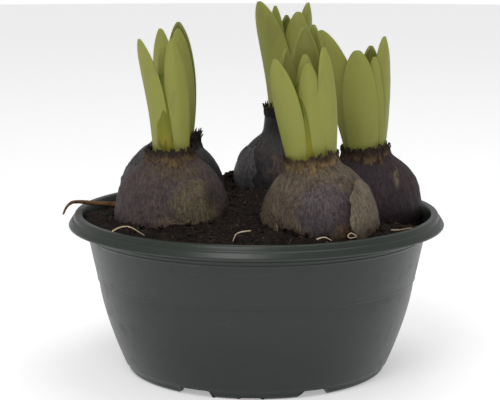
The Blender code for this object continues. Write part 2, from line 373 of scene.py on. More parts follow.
class Effects:
    """The shader effects that several finishes share, each built once."""

    def __init__(self) -> None:
        """Build every effect."""
        self.mottle = self.make_mottle()
        self.patch = self.make_patch()
        self.streaks = self.make_streaks()
        self.wrinkles = self.make_wrinkles()

    @staticmethod
    def make_mottle() -> Tree:
        """Soft-edged blotches: noise pushed towards 0 and 1."""
        w, i, sink = new_group(
            "Mottle", {"Vector": (0.0, 0.0, 0.0), "Scale": 100.0, "Detail": 4.0, "Low": 0.45, "High": 0.6},
            {"Mask": "Float"},
        )
        made = w.noise(i["Vector"], i["Scale"], i["Detail"])
        return join(w, sink, Mask=w.ramp(made, i["Low"], i["High"]))

    @staticmethod
    def make_patch() -> Tree:
        """One patch at a place on the piece, with a ragged edge."""
        w, i, sink = new_group(
            "Patch",
            {"Vector": (0.0, 0.0, 0.0), "Centre": (0.0, 0.0, 0.0), "Size": (0.01, 0.01, 0.01),
             "Ragged": 0.5, "Grain": 180.0, "Soft": 0.35},
            {"Mask": "Float"},
        )
        away = w.node("ShaderNodeVectorMath", {0: i["Vector"], 1: i["Centre"]}, operation="SUBTRACT")
        share = w.node("ShaderNodeVectorMath", {0: away.outputs[0], 1: i["Size"]}, operation="DIVIDE")
        length = w.node("ShaderNodeVectorMath", {0: share.outputs[0]}, operation="LENGTH")
        centred = w.math("SUBTRACT", w.noise(i["Vector"], i["Grain"], 4.0), 0.5)
        pushed = w.times(w.times(centred, i["Ragged"]), 4.0)
        distance = w.math("ADD", length.outputs["Value"], pushed)
        low = w.math("SUBTRACT", 1.0, i["Soft"])
        high = w.math("ADD", 1.0, i["Soft"])
        return join(w, sink, Mask=w.ramp(distance, low, high, 1.0, 0.0))

    @staticmethod
    def make_streaks() -> Tree:
        """Lengthwise streaks, as veins along a leaf, from a stretched noise."""
        w, i, sink = new_group(
            "Streaks", {"Vector": (0.0, 0.0, 0.0), "Across": 40.0, "Along": 1.5, "Detail": 3.0},
            {"Mask": "Float"},
        )
        scale = w.node("ShaderNodeCombineXYZ", {"X": i["Across"], "Y": i["Along"], "Z": 1.0})
        vector = w.node("ShaderNodeVectorMath", {0: i["Vector"], 1: scale.outputs[0]}, operation="MULTIPLY")
        return join(w, sink, Mask=w.ramp(w.noise(vector.outputs[0], 1.0, i["Detail"]), 0.3, 0.7))

    @staticmethod
    def make_wrinkles() -> Tree:
        """Fine ridges: thin lines where a noise crosses its middle value."""
        w, i, sink = new_group(
            "Wrinkles", {"Vector": (0.0, 0.0, 0.0), "Scale": 10.0, "Detail": 3.0, "Width": 0.05, "Bend": 0.6},
            {"Mask": "Float"},
        )
        made = w.noise(i["Vector"], i["Scale"], i["Detail"], i["Bend"])
        away = w.math("ABSOLUTE", w.math("SUBTRACT", made, 0.5))
        return join(w, sink, Mask=w.ramp(away, 0.0, i["Width"], 1.0, 0.0))


class Painter(Wiring):
    """Wires one material around a Principled shader, with the shared effects at hand."""

    def __init__(self, name: str, effects: Effects) -> None:
        """Start a material.

        Args:
            name: Name of the material.
            effects: The shared effects.
        """
        self.material = bpy.data.materials.new(name)
        self.material.use_nodes = True
        super().__init__(self.material.node_tree)
        self.effects = effects
        self.shader = self.tree.nodes["Principled BSDF"]
        coordinates = self.node("ShaderNodeTexCoord")
        self.place = coordinates.outputs["Object"]
        self.uv = coordinates.outputs["UV"]

    def effect(self, group: Tree, **values: object) -> Socket:
        """Place a shared effect.

        Args:
            group: The effect.
            values: Its inputs by name, sockets or values.

        Returns:
            Its mask.
        """
        made = self.node("ShaderNodeGroup", node_tree=group)
        for label, value in values.items():
            socket = made.inputs[label]
            if isinstance(value, Socket):
                self.tree.links.new(value, socket)
            else:
                socket.default_value = value
        return made.outputs["Mask"]

    def bump(self, height: Socket, distance: float, strength: float = 1.0,
             under: Socket | None = None) -> Socket:
        """Turn a height into a normal.

        Args:
            height: The height, from 0 to 1.
            distance: Metres that a height of 1 stands out.
            strength: How strongly it shows.
            under: A normal that it lies on, if there is one.

        Returns:
            The normal.
        """
        inputs = {"Height": height, "Distance": distance, "Strength": strength}
        if under is not None:
            inputs["Normal"] = under
        return self.node("ShaderNodeBump", inputs).outputs["Normal"]

    def finish(
        self, colour: object, roughness: object, normal: object = None, **constants: object,
    ) -> Material:
        """Join colour, roughness and normal to the shader.

        Args:
            colour: Base colour, a socket or three numbers.
            roughness: A socket or a number.
            normal: A socket or None.
            constants: Other shader sockets, by name with spaces for underscores.

        Returns:
            The finished material.
        """
        for label, value in (("Base Color", colour), ("Roughness", roughness), ("Normal", normal)):
            if isinstance(value, Socket):
                self.tree.links.new(value, self.shader.inputs[label])
            elif value is not None:
                self.shader.inputs[label].default_value = (*value, 1.0) if label == "Base Color" else value
        for label, value in constants.items():
            self.shader.inputs[label.replace("_", " ")].default_value = value
        return self.material


# ---------------------------------------------------------------- finishes


@dataclass(frozen=True)
class BowlPlastic:
    """Dark green moulded plastic with a satin skin, faint scuffs and dust, and painted light that makes the
    rim lighter.
    """

    base: Colour = (0.0095, 0.0135, 0.0125)
    # painted light: lighter colour for the rim band, the same plastic as if catching light from above
    rim_painted_light: Colour = (0.016, 0.023, 0.0165)
    cloud: Colour = (0.017, 0.0215, 0.0205)
    dust: Colour = (0.085, 0.09, 0.085)
    scuff: Colour = (0.07, 0.075, 0.07)
    # painted light: heights where the rim's lighter band starts and where it is full
    rim_light_start: float = 0.0885
    rim_light_full: float = 0.0905
    roughness: float = 0.36

    def build(self, effects: Effects) -> Material:
        """Make the material of the bowl."""
        p = Painter("bowl_plastic", effects)
        height = p.node("ShaderNodeSeparateXYZ", {0: p.place}).outputs["Z"]
        # painted light: the colour turns lighter from the foot of the rim upwards, as if the rim caught light
        # from above
        base = p.mix(p.ramp(height, self.rim_light_start, self.rim_light_full), self.base, self.rim_painted_light)
        cloudy = p.effect(effects.mottle, Vector=p.place, Scale=38.0, Detail=3.0, Low=0.35, High=0.75)
        colour = p.mix(p.times(cloudy, 0.22), base, self.cloud)
        specks = p.effect(effects.mottle, Vector=p.place, Scale=900.0, Detail=2.0, Low=0.68, High=0.76)
        film = p.effect(effects.mottle, Vector=p.place, Scale=120.0, Detail=5.0, Low=0.5, High=0.8)
        dusty = p.times(specks, p.times(film, 0.35))
        colour = p.mix(dusty, colour, self.dust)
        drawn = p.stretched(p.place, (1.0, 1.0, 16.0))
        lines = p.noise(drawn, 70.0, 3.0)
        scuffs = p.effect(effects.mottle, Vector=p.stretched(p.place, (20.0, 20.0, 260.0), (0.0, 0.35, 0.3)),
                          Scale=4.0, Detail=2.0, Low=0.66, High=0.72)
        colour = p.mix(p.times(scuffs, 0.16), colour, self.scuff)
        shine = p.math("ADD", p.times(film, 0.12), self.roughness)
        skin = p.bump(p.noise(p.place, 1500.0, 2.0), 0.00004)
        normal = p.bump(lines, 0.00006, 1.0, skin)
        return p.finish(colour, shine, normal, IOR=1.5)


@dataclass(frozen=True)
class PeatFinish:
    """Dark crumbly peat: red-brown grains, near-black patches that are partly the peat's own colour and
    partly painted shade of hollows, and a few pale specks.
    """

    name: str = "peat_grains"
    # near-black: partly the peat's own colour, partly painted shade of the hollows between crumbs
    dark_and_hollow_shade: Colour = (0.0035, 0.0024, 0.002)
    brown: Colour = (0.021, 0.0125, 0.009)
    light: Colour = (0.06, 0.036, 0.024)
    pale: Colour = (0.3, 0.27, 0.23)

    def build(self, effects: Effects) -> Material:
        """Make the material of the peat."""
        p = Painter(self.name, effects)
        grains = p.effect(effects.mottle, Vector=p.place, Scale=420.0, Detail=6.0, Low=0.34, High=0.66)
        # near-black patches at random places: partly the peat's own colour, partly painted shade of hollows
        colour = p.mix(grains, self.dark_and_hollow_shade, self.brown)
        threads = p.effect(effects.mottle, Vector=p.stretched(p.place, (1.0, 2.6, 1.0), (0.2, 0.3, 0.8)),
                           Scale=520.0, Detail=4.0, Low=0.6, High=0.74)
        colour = p.mix(p.times(threads, 0.7), colour, self.light)
        clouds = p.effect(effects.mottle, Vector=p.place, Scale=45.0, Detail=2.0, Low=0.35, High=0.7)
        colour = p.blend(p.times(clouds, 0.55), colour, (0.4, 0.36, 0.36), "MULTIPLY")
        specks = p.effect(effects.mottle, Vector=p.place, Scale=640.0, Detail=1.0, Low=0.765, High=0.79)
        colour = p.mix(specks, colour, self.pale)
        normal = p.bump(p.noise(p.place, 700.0, 6.0), 0.0007)
        return p.finish(colour, 0.95, normal, Specular_IOR_Level=0.2)


@dataclass(frozen=True)
class LeafFinish:
    """A fleshy leaf: fine veins, a yellow foot, a pale margin and brown stains low down; a shade factor below
    1 makes a darker copy of it, which is painted shade.
    """

    name: str
    body: Colour = (0.205, 0.235, 0.016)
    deep: Colour = (0.125, 0.16, 0.012)
    foot: Colour = (0.3, 0.27, 0.014)
    margin: Colour = (0.27, 0.29, 0.075)
    stain: Colour = (0.11, 0.06, 0.018)
    # painted shade: the whole colour is multiplied by this; below 1 it makes a darker copy for the leaves'
    # inner faces
    painted_shade: float = 1.0
    roughness: float = 0.46

    def build(self, effects: Effects) -> Material:
        """Make the material of one face of the leaves."""
        p = Painter(self.name, effects)
        parts = p.node("ShaderNodeSeparateXYZ", {0: p.uv})
        across, along = parts.outputs["X"], parts.outputs["Y"]
        fine = p.effect(effects.streaks, Vector=p.uv, Across=46.0, Along=2.0, Detail=2.0)
        broad = p.effect(effects.streaks, Vector=p.uv, Across=9.0, Along=1.2, Detail=3.0)
        cloud = p.noise(p.place, 60.0, 3.0)
        colour = p.mix(p.times(broad, 0.55), self.body, self.deep)
        colour = p.blend(p.times(fine, 0.35), colour, (0.72, 0.78, 0.6), "MULTIPLY")
        colour = p.blend(p.ramp(cloud, 0.35, 0.75, 0.0, 0.35), colour, (0.75, 0.85, 0.7), "MULTIPLY")
        low = p.math("ADD", along, p.times(p.math("SUBTRACT", cloud, 0.5), 0.16))
        colour = p.mix(p.ramp(low, 0.42, 0.02, 0.0, 0.85), colour, self.foot)
        drawn = p.stretched(p.place, (1.0, 1.0, 0.35))
        stains = p.effect(effects.mottle, Vector=drawn, Scale=150.0, Detail=4.0, Low=0.56, High=0.68)
        below = p.times(p.ramp(along, 0.45, 0.12), 0.55)
        colour = p.mix(p.times(stains, below), colour, self.stain)
        edge = p.math("ABSOLUTE", p.math("SUBTRACT", across, 0.5))
        colour = p.mix(p.ramp(edge, 0.455, 0.497, 0.0, 0.75), colour, self.margin)
        colour = p.mix(p.ramp(along, 0.965, 1.0, 0.0, 0.6), colour, self.margin)
        # painted shade: darken the whole colour by the shade factor
        colour = p.blend(1.0, colour, (self.painted_shade, self.painted_shade, self.painted_shade), "MULTIPLY")
        veins = p.bump(fine, 0.00011)
        normal = p.bump(p.noise(p.place, 320.0, 3.0), 0.0001, 1.0, veins)
        shine = p.math("ADD", p.times(cloud, 0.16), self.roughness - 0.06)
        return p.finish(
            colour, shine, normal, Subsurface_Weight=0.12, Subsurface_Radius=(0.6, 1.0, 0.2),
            Subsurface_Scale=0.0025, Specular_IOR_Level=0.3,
        )


@dataclass(frozen=True)
class SkinPatch:
    """A differently coloured area of a bulb's skin.

    Attributes:
        colour: Its colour.
        centre: Its middle, in millimetres.
        size: How far it reaches along each axis, in millimetres.
        weight: How strongly it covers.
        ragged: How torn its edge is.
        soft: How soft its edge is.
    """

    colour: Colour
    centre: Triple
    size: Triple
    weight: float = 1.0
    ragged: float = 0.5
    soft: float = 0.3


@dataclass(frozen=True)
class SkinFinish:
    """The dry papery skin of a bulb, with its network of wrinkles and its patches."""

    name: str
    base: Colour
    second: Colour
    network: Colour
    patches: tuple[SkinPatch, ...] = ()
    net_weight: float = 0.55
    roughness: float = 0.5

    def build(self, effects: Effects) -> Material:
        """Make the material of one bulb's skin."""
        p = Painter(self.name, effects)
        clouds = p.effect(effects.mottle, Vector=p.place, Scale=70.0, Detail=5.0, Low=0.4, High=0.62)
        colour = p.mix(clouds, self.base, self.second)
        for patch in self.patches:
            mask = p.effect(
                effects.patch, Vector=p.place, Centre=Vector(patch.centre) * MM, Size=Vector(patch.size) * MM,
                Ragged=patch.ragged, Soft=patch.soft,
            )
            colour = p.mix(p.times(mask, patch.weight), colour, patch.colour)
        grain = p.effect(effects.mottle, Vector=p.place, Scale=480.0, Detail=5.0, Low=0.36, High=0.66)
        colour = p.blend(p.times(grain, 0.55), colour, (0.42, 0.4, 0.42), "MULTIPLY")
        pale = p.effect(effects.mottle, Vector=p.place, Scale=260.0, Detail=6.0, Low=0.56, High=0.74)
        colour = p.blend(p.times(pale, 0.5), colour, (0.9, 0.85, 0.8), "SOFT_LIGHT")
        wrap = p.node("ShaderNodeAttribute", attribute_name="wrap").outputs["Vector"]
        net = p.effect(effects.wrinkles, Vector=p.stretched(wrap, (1.0, 1.0, 0.45)), Scale=13.0, Detail=4.0,
                       Width=0.035)
        sparse = p.effect(effects.mottle, Vector=p.place, Scale=90.0, Detail=3.0, Low=0.35, High=0.6)
        shown = p.times(p.times(net, sparse), self.net_weight)
        colour = p.mix(shown, colour, self.network)
        hair = p.noise(p.stretched(wrap, (1.0, 1.0, 0.16)), 46.0, 4.0)
        colour = p.blend(p.ramp(hair, 0.42, 0.62, 0.0, 0.6), colour, (0.5, 0.46, 0.46), "MULTIPLY")
        ridges = p.bump(net, 0.00025)
        folds = p.bump(hair, 0.0007, 1.0, ridges)
        normal = p.bump(p.noise(p.place, 900.0, 5.0), 0.0003, 1.0, folds)
        shine = p.ramp(clouds, 0.0, 1.0, self.roughness, self.roughness + 0.2)
        return p.finish(colour, shine, normal, Specular_IOR_Level=0.35)


@dataclass(frozen=True)
class DryFinish:
    """Dry plant matter with lengthwise fibres: roots, torn scales and loose threads."""

    name: str
    base: Colour
    second: Colour
    edge: Colour = (0.02, 0.013, 0.01)
    scale: float = 260.0
    edge_weight: float = 0.0

    def build(self, effects: Effects) -> Material:
        """Make the material."""
        p = Painter(self.name, effects)
        clouds = p.effect(effects.mottle, Vector=p.place, Scale=self.scale, Detail=5.0, Low=0.4, High=0.62)
        colour = p.mix(clouds, self.base, self.second)
        fibres = p.noise(p.stretched(p.place, (1.0, 1.0, 0.22)), 900.0, 3.0)
        colour = p.blend(p.ramp(fibres, 0.45, 0.7, 0.0, 0.6), colour, (0.4, 0.36, 0.33), "MULTIPLY")
        if self.edge_weight > 0.0:
            along = p.node("ShaderNodeSeparateXYZ", {0: p.uv}).outputs["Y"]
            torn = p.math("ADD", along, p.times(p.math("SUBTRACT", fibres, 0.5), 0.5))
            colour = p.mix(p.ramp(torn, 0.45, 0.95, 0.0, self.edge_weight), colour, self.edge)
        normal = p.bump(fibres, 0.0003)
        return p.finish(colour, 0.82, normal, Specular_IOR_Level=0.25)


# ---------------------------------------------------------------- bowl


@dataclass
class Bowl:
    """The moulded bowl: belly, step, two-band folded rim and a foot ring with drain notches."""

    steps: int = 288
    foot_radius: float = 77.4
    foot_corner: float = 3.0
    foot_ring: float = 2.2
    foot_height: float = 5.2
    base_radius: float = 79.3
    wall: float = 1.8
    step_z: float = 57.5
    step_radius: float = 97.1
    step_depth: float = 0.9
    belly_power: float = 1.45
    rim_base_z: float = 88.5
    rim_base_radius: float = 104.3
    rim_top_z: float = 97.5
    rim_inner: float = 106.9
    rim_outer: float = 111.1
    lip_radius: float = 115.0
    lip_z: float = 89.7
    ribs: tuple[float, float] = (84.2, 86.3)
    rib_rise: float = 0.35
    rib_width: float = 0.42
    notches: tuple[tuple[float, float, float], ...] = (
        (-27.0, 7.6, 4.4), (25.0, 6.3, 4.4), (-2.6, 4.8, 1.3), (153.0, 7.6, 4.4), (205.0, 6.3, 4.4),
    )

    def outside(self, height: float) -> float:
        """Outer radius of the wall at a height."""
        if height <= self.step_z:
            share = 1.0 - height / self.step_z
            return self.step_radius - (self.step_radius - self.base_radius) * share**self.belly_power
        foot = self.step_radius + self.step_depth
        slope = (self.rim_base_radius - foot) / (self.rim_base_z - self.step_z - 1.0)
        radius = foot + slope * max(0.0, height - self.step_z - 1.0)
        for rib in self.ribs:
            radius += self.rib_rise * math.exp(-(((height - rib) / self.rib_width) ** 2))
        return radius

    def inside(self, height: float) -> float:
        """Inner radius of the wall at a height, up to the top of the rim."""
        if height <= self.rim_base_z:
            return self.outside(min(height, 80.0)) + max(0.0, height - 80.0) * 0.21 - self.wall
        flare = (self.rim_inner - self.rim_base_radius + self.wall) / (self.rim_top_z - self.rim_base_z)
        return self.rim_base_radius - self.wall + flare * (height - self.rim_base_z)

    def profile(self) -> list[tuple[float, float]]:
        """The whole section, from the middle of the floor up the inside, over the rim and down."""
        floor = self.foot_height + self.wall
        base, foot, lip, low = self.base_radius, self.foot_radius, self.lip_radius, self.lip_z
        inner, outer, top = self.rim_inner, self.rim_outer, self.rim_top_z
        line = [(0.0, floor), (40.0, floor), (base - 7.0, floor), (base - 3.0, floor + 0.6),
                (base - 1.5, floor + 2.2)]
        line += [(self.inside(height), float(height)) for height in range(14, 92, 6)]
        line += [(inner - 0.5, top - 2.0), (inner - 0.12, top - 0.6),
                 (inner + 0.3, top - 0.12), (inner + 0.9, top),
                 (outer - 0.9, top), (outer - 0.25, top - 0.2),
                 (outer + 0.15, top - 0.8), (outer + 0.75, top - 2.6),
                 (outer + 0.9, top - 3.1), (outer + 1.2, top - 3.3),
                 (outer + 1.75, top - 3.4), (outer + 2.0, top - 3.8),
                 (lip - 0.3, low + 1.6), (lip, low + 0.7),
                 (lip - 0.3, low + 0.15), (lip - 0.9, low),
                 (lip - 1.7, low + 0.3), (outer - 1.3, top - 2.1),
                 (inner + 0.7, top - 2.1), (self.rim_base_radius + 0.3, self.rim_base_z + 0.6)]
        heights = [88.0, 87.4, 87.0, 86.6, 86.3, 86.0, 85.6, 85.2, 84.8, 84.5, 84.2, 83.9, 83.5, 83.0, 82.0]
        heights += [80.0 - 4.0 * index for index in range(6)] + [58.9, 58.5, 58.0, 57.6, 57.2, 56.6]
        heights += [55.0 - 3.0 * index for index in range(16)] + [7.0, 5.4]
        line += [(self.outside(height), height) for height in heights]
        for index in range(6):
            angle = 0.5 * math.pi * index / 5.0
            line.append((foot + 2.4 * math.cos(angle), 0.35 + self.foot_corner * (1.0 - math.sin(angle))))
        ring = foot - self.foot_ring
        line += [(foot - 0.3, 0.08), (foot - 0.7, 0.0), (ring + 0.5, 0.0), (ring, 0.4),
                 (ring, 2.4), (ring, self.foot_height), (40.0, self.foot_height), (0.0, self.foot_height)]
        return line

    def notch_height(self, x: float, y: float) -> float:
        """How high the foot ring is cut away at a place."""
        angle = math.degrees(math.atan2(x, -y)) % 360.0
        cut = 0.0
        for centre, half, height in self.notches:
            away = abs((angle - centre + 180.0) % 360.0 - 180.0)
            cut = max(cut, height * (1.0 - smoothstep(half - 0.9, half + 0.9, away)))
        return cut

    def build(self, material: Material) -> Piece:
        """Make the bowl."""
        shape = turned(self.profile(), self.steps)
        for vert in shape.verts:
            radius = math.hypot(vert.co.x, vert.co.y)
            if vert.co.z > self.foot_height or radius < self.foot_radius - self.foot_ring - 0.1:
                continue
            cut = self.notch_height(vert.co.x, vert.co.y)
            if vert.co.z < cut:
                reach = 1.0
                if radius > self.foot_radius - 0.5:
                    reach = max(radius, self.outside(cut) - 0.25) / radius
                vert.co = Vector((vert.co.x * reach, vert.co.y * reach, cut))
        bowl = as_object("bowl", in_metres(shape), [material])
        return hand_over(bowl, ["pot"])


# ---------------------------------------------------------------- peat


@dataclass
class Peat:
    """The bed of peat: a mounded top, loose crumbs and fibres."""

    level: float = 92.0
    mounds: tuple[tuple[float, float, float, float], ...] = (
        (0.0, 15.0, 12.0, 52.0), (0.0, -104.0, 2.5, 22.0), (-50.0, -36.0, 8.0, 36.0),
        (38.0, -52.0, 4.0, 34.0), (95.0, -5.0, -6.0, 24.0), (0.0, 108.0, -4.0, 26.0),
        (-16.0, 68.0, 12.0, 7.5),
    )
    clump: tuple[float, float] = (-16.0, 68.0)
    clump_spread: float = 5.0
    wall_gap: float = 0.3
    rings: int = 112
    steps: int = 336
    crumbs: int = 2600
    crumb_seed: int = 11
    fibres: int = 320
    fibre_seed: int = 23

    def height(self, x: float, y: float) -> float:
        """Height of the bed's smooth shape at a place."""
        total = self.level
        for mound_x, mound_y, rise, spread in self.mounds:
            total += rise * math.exp(-((x - mound_x) ** 2 + (y - mound_y) ** 2) / (2.0 * spread**2))
        return total

    def surface(self, x: float, y: float, edge: float) -> float:
        """Height of the rough top at a place, falling to the wall at the edge."""
        place = Vector((x, y, 0.0))
        rough = 1.9 * lumps(place, 17.0, 3, 1.0) + 1.5 * lumps(place, 5.2, 3, 2.0)
        rough += 1.1 * abs(lumps(place, 2.4, 2, 3.0))
        radius = math.hypot(x, y)
        sink = 3.2 * smoothstep(edge - 7.0, edge, radius) * (0.6 + 0.8 * lumps(place, 24.0, 2, 5.0))
        return self.height(x, y) + rough - max(0.0, sink)

    def build_bed(self, bowl: Bowl, material: Material) -> Piece:
        """Make the bed as a closed body inside the bowl.

        Args:
            bowl: The bowl round the bed.
            material: Its finish.

        Returns:
            The piece.
        """
        edge = bowl.inside(88.0) - self.wall_gap
        spread = [edge * (index / self.rings) ** 0.86 for index in range(self.rings + 1)]
        profile = [(radius, 100.0) for radius in spread]
        profile += [(bowl.inside(height) - self.wall_gap, height) for height in (80.0, 60.0)]
        profile.append((0.0, 60.0))
        shape = turned(profile, self.steps)
        for vert in shape.verts:
            if vert.co.z > 90.0:
                top = self.surface(vert.co.x, vert.co.y, edge)
                radius = math.hypot(vert.co.x, vert.co.y)
                if radius > edge - 0.1:
                    reach = (bowl.inside(top) - self.wall_gap) / radius
                    vert.co.x *= reach
                    vert.co.y *= reach
                vert.co.z = top
        bed = as_object("peat_bed", in_metres(shape), [material])
        return hand_over(bed, ["soil"])

    def free_place(self, dice: random.Random, edge: float, bulbs: Sequence["Bulb"]) -> Vector | None:
        """Draw a random place on the bed.

        Args:
            dice: Random numbers.
            edge: Radius that it stays within.
            bulbs: The bulbs that it keeps clear of.

        Returns:
            The place, or None where a bulb stands.
        """
        radius = edge * math.sqrt(dice.random())
        angle = dice.uniform(0.0, 2.0 * math.pi)
        x, y = radius * math.cos(angle), radius * math.sin(angle)
        for bulb in bulbs:
            if math.hypot(x - bulb.belly[0], y - bulb.belly[1]) < bulb.radius * 0.93:
                return None
        return Vector((x, y, self.surface(x, y, edge)))

    def build_crumbs(self, bowl: Bowl, bulbs: Sequence["Bulb"], material: Material) -> Piece:
        """Scatter loose crumbs over the bed, thickest on the clump and round the bulbs.

        Args:
            bowl: The bowl round the bed.
            bulbs: The bulbs, in the order that the random draws use.
            material: Its finish.

        Returns:
            The piece.
        """
        dice = random.Random(self.crumb_seed)
        edge = bowl.inside(90.0) - 2.0
        shape = bmesh.new()
        for index in range(self.crumbs):
            if index % 14 == 0:
                x, y = (dice.gauss(middle, self.clump_spread) for middle in self.clump)
                place = Vector((x, y, self.surface(x, y, edge)))
            elif index % 5 == 0:
                bulb = bulbs[dice.randrange(len(bulbs))]
                angle = dice.uniform(0.0, 2.0 * math.pi)
                reach = bulb.radius * dice.uniform(0.93, 1.08)
                x, y = bulb.belly[0] + reach * math.cos(angle), bulb.belly[1] + reach * math.sin(angle)
                if math.hypot(x, y) > edge:
                    continue
                place = Vector((x, y, self.surface(x, y, edge) + dice.uniform(0.0, 1.2)))
            else:
                place = self.free_place(dice, edge, bulbs)
            if place is None:
                continue
            size = 0.45 + 1.5 * dice.random() ** 3.2
            sides = [dice.uniform(low, high) for low, high in ((0.7, 1.4), (0.6, 1.1), (0.5, 0.9))]
            stretch = Matrix.Diagonal((*sides, 1.0))
            turn = Matrix.Rotation(dice.uniform(0, 6.28), 4, "Z")
            turn = turn @ Matrix.Rotation(dice.uniform(-0.9, 0.9), 4, "X")
            made = bmesh.ops.create_icosphere(
                shape, subdivisions=1, radius=size, matrix=Matrix.Translation(place) @ turn @ stretch,
            )
            for vert in made["verts"]:
                push = Vector([dice.uniform(-1, 1) for _ in range(3)])
                vert.co += push * size * 0.3
        crumbs = as_object("peat_crumbs", in_metres(shape), [material])
        return hand_over(crumbs)

    def build_fibres(self, bowl: Bowl, bulbs: Sequence["Bulb"], material: Material) -> Piece:
        """Scatter short threads over the bed.

        Args:
            bowl: The bowl round the bed.
            bulbs: The bulbs that they keep clear of.
            material: Its finish.

        Returns:
            The piece.
        """
        dice = random.Random(self.fibre_seed)
        edge = bowl.inside(90.0) - 3.0
        shape = bmesh.new()
        for _ in range(self.fibres):
            place = self.free_place(dice, edge, bulbs)
            if place is None:
                continue
            heading = dice.uniform(0.0, 2.0 * math.pi)
            length = dice.uniform(2.0, 7.0)
            bend = dice.uniform(-1.2, 1.2)
            route = []
            for step in range(5):
                share = step / 4.0 - 0.5
                angle = heading + bend * share
                x = place.x + length * share * math.cos(angle)
                y = place.y + length * share * math.sin(angle)
                lift = 0.55 + 0.8 * dice.random() * (1.0 - abs(2.0 * share))
                route.append(Vector((x, y, self.surface(x, y, edge) + lift)))
            radius = dice.uniform(0.09, 0.2)
            tube(shape, route, lambda share, radius=radius: radius * (1.0 - 0.5 * abs(2.0 * share - 1.0)), 3)
        bmesh.ops.recalc_face_normals(shape, faces=shape.faces)
        fibres = as_object("peat_fibres", in_metres(shape), [material])
        return hand_over(fibres)


# ---------------------------------------------------------------- bulbs


@dataclass
class Flap:
    """A loose sheet of papery skin that stands off the bulb.

    Attributes:
        name: Its name.
        turn: Compass angle of its middle, in degrees, 0 towards +X and 90 towards +Y.
        span: Half of its width, in degrees.
        low: Lower end as a share of the bulb's height.
        high: Upper end as a share of the bulb's height.
        lift: How far it stands off, in millimetres.
        curl: How far its free edge curls away, in millimetres.
        free: Compass side whose edge is free: -1 clockwise, 1 counter-clockwise.
    """

    name: str
    turn: float
    span: float
    low: float
    high: float
    lift: float = 0.7
    curl: float = 3.0
    free: float = 1.0


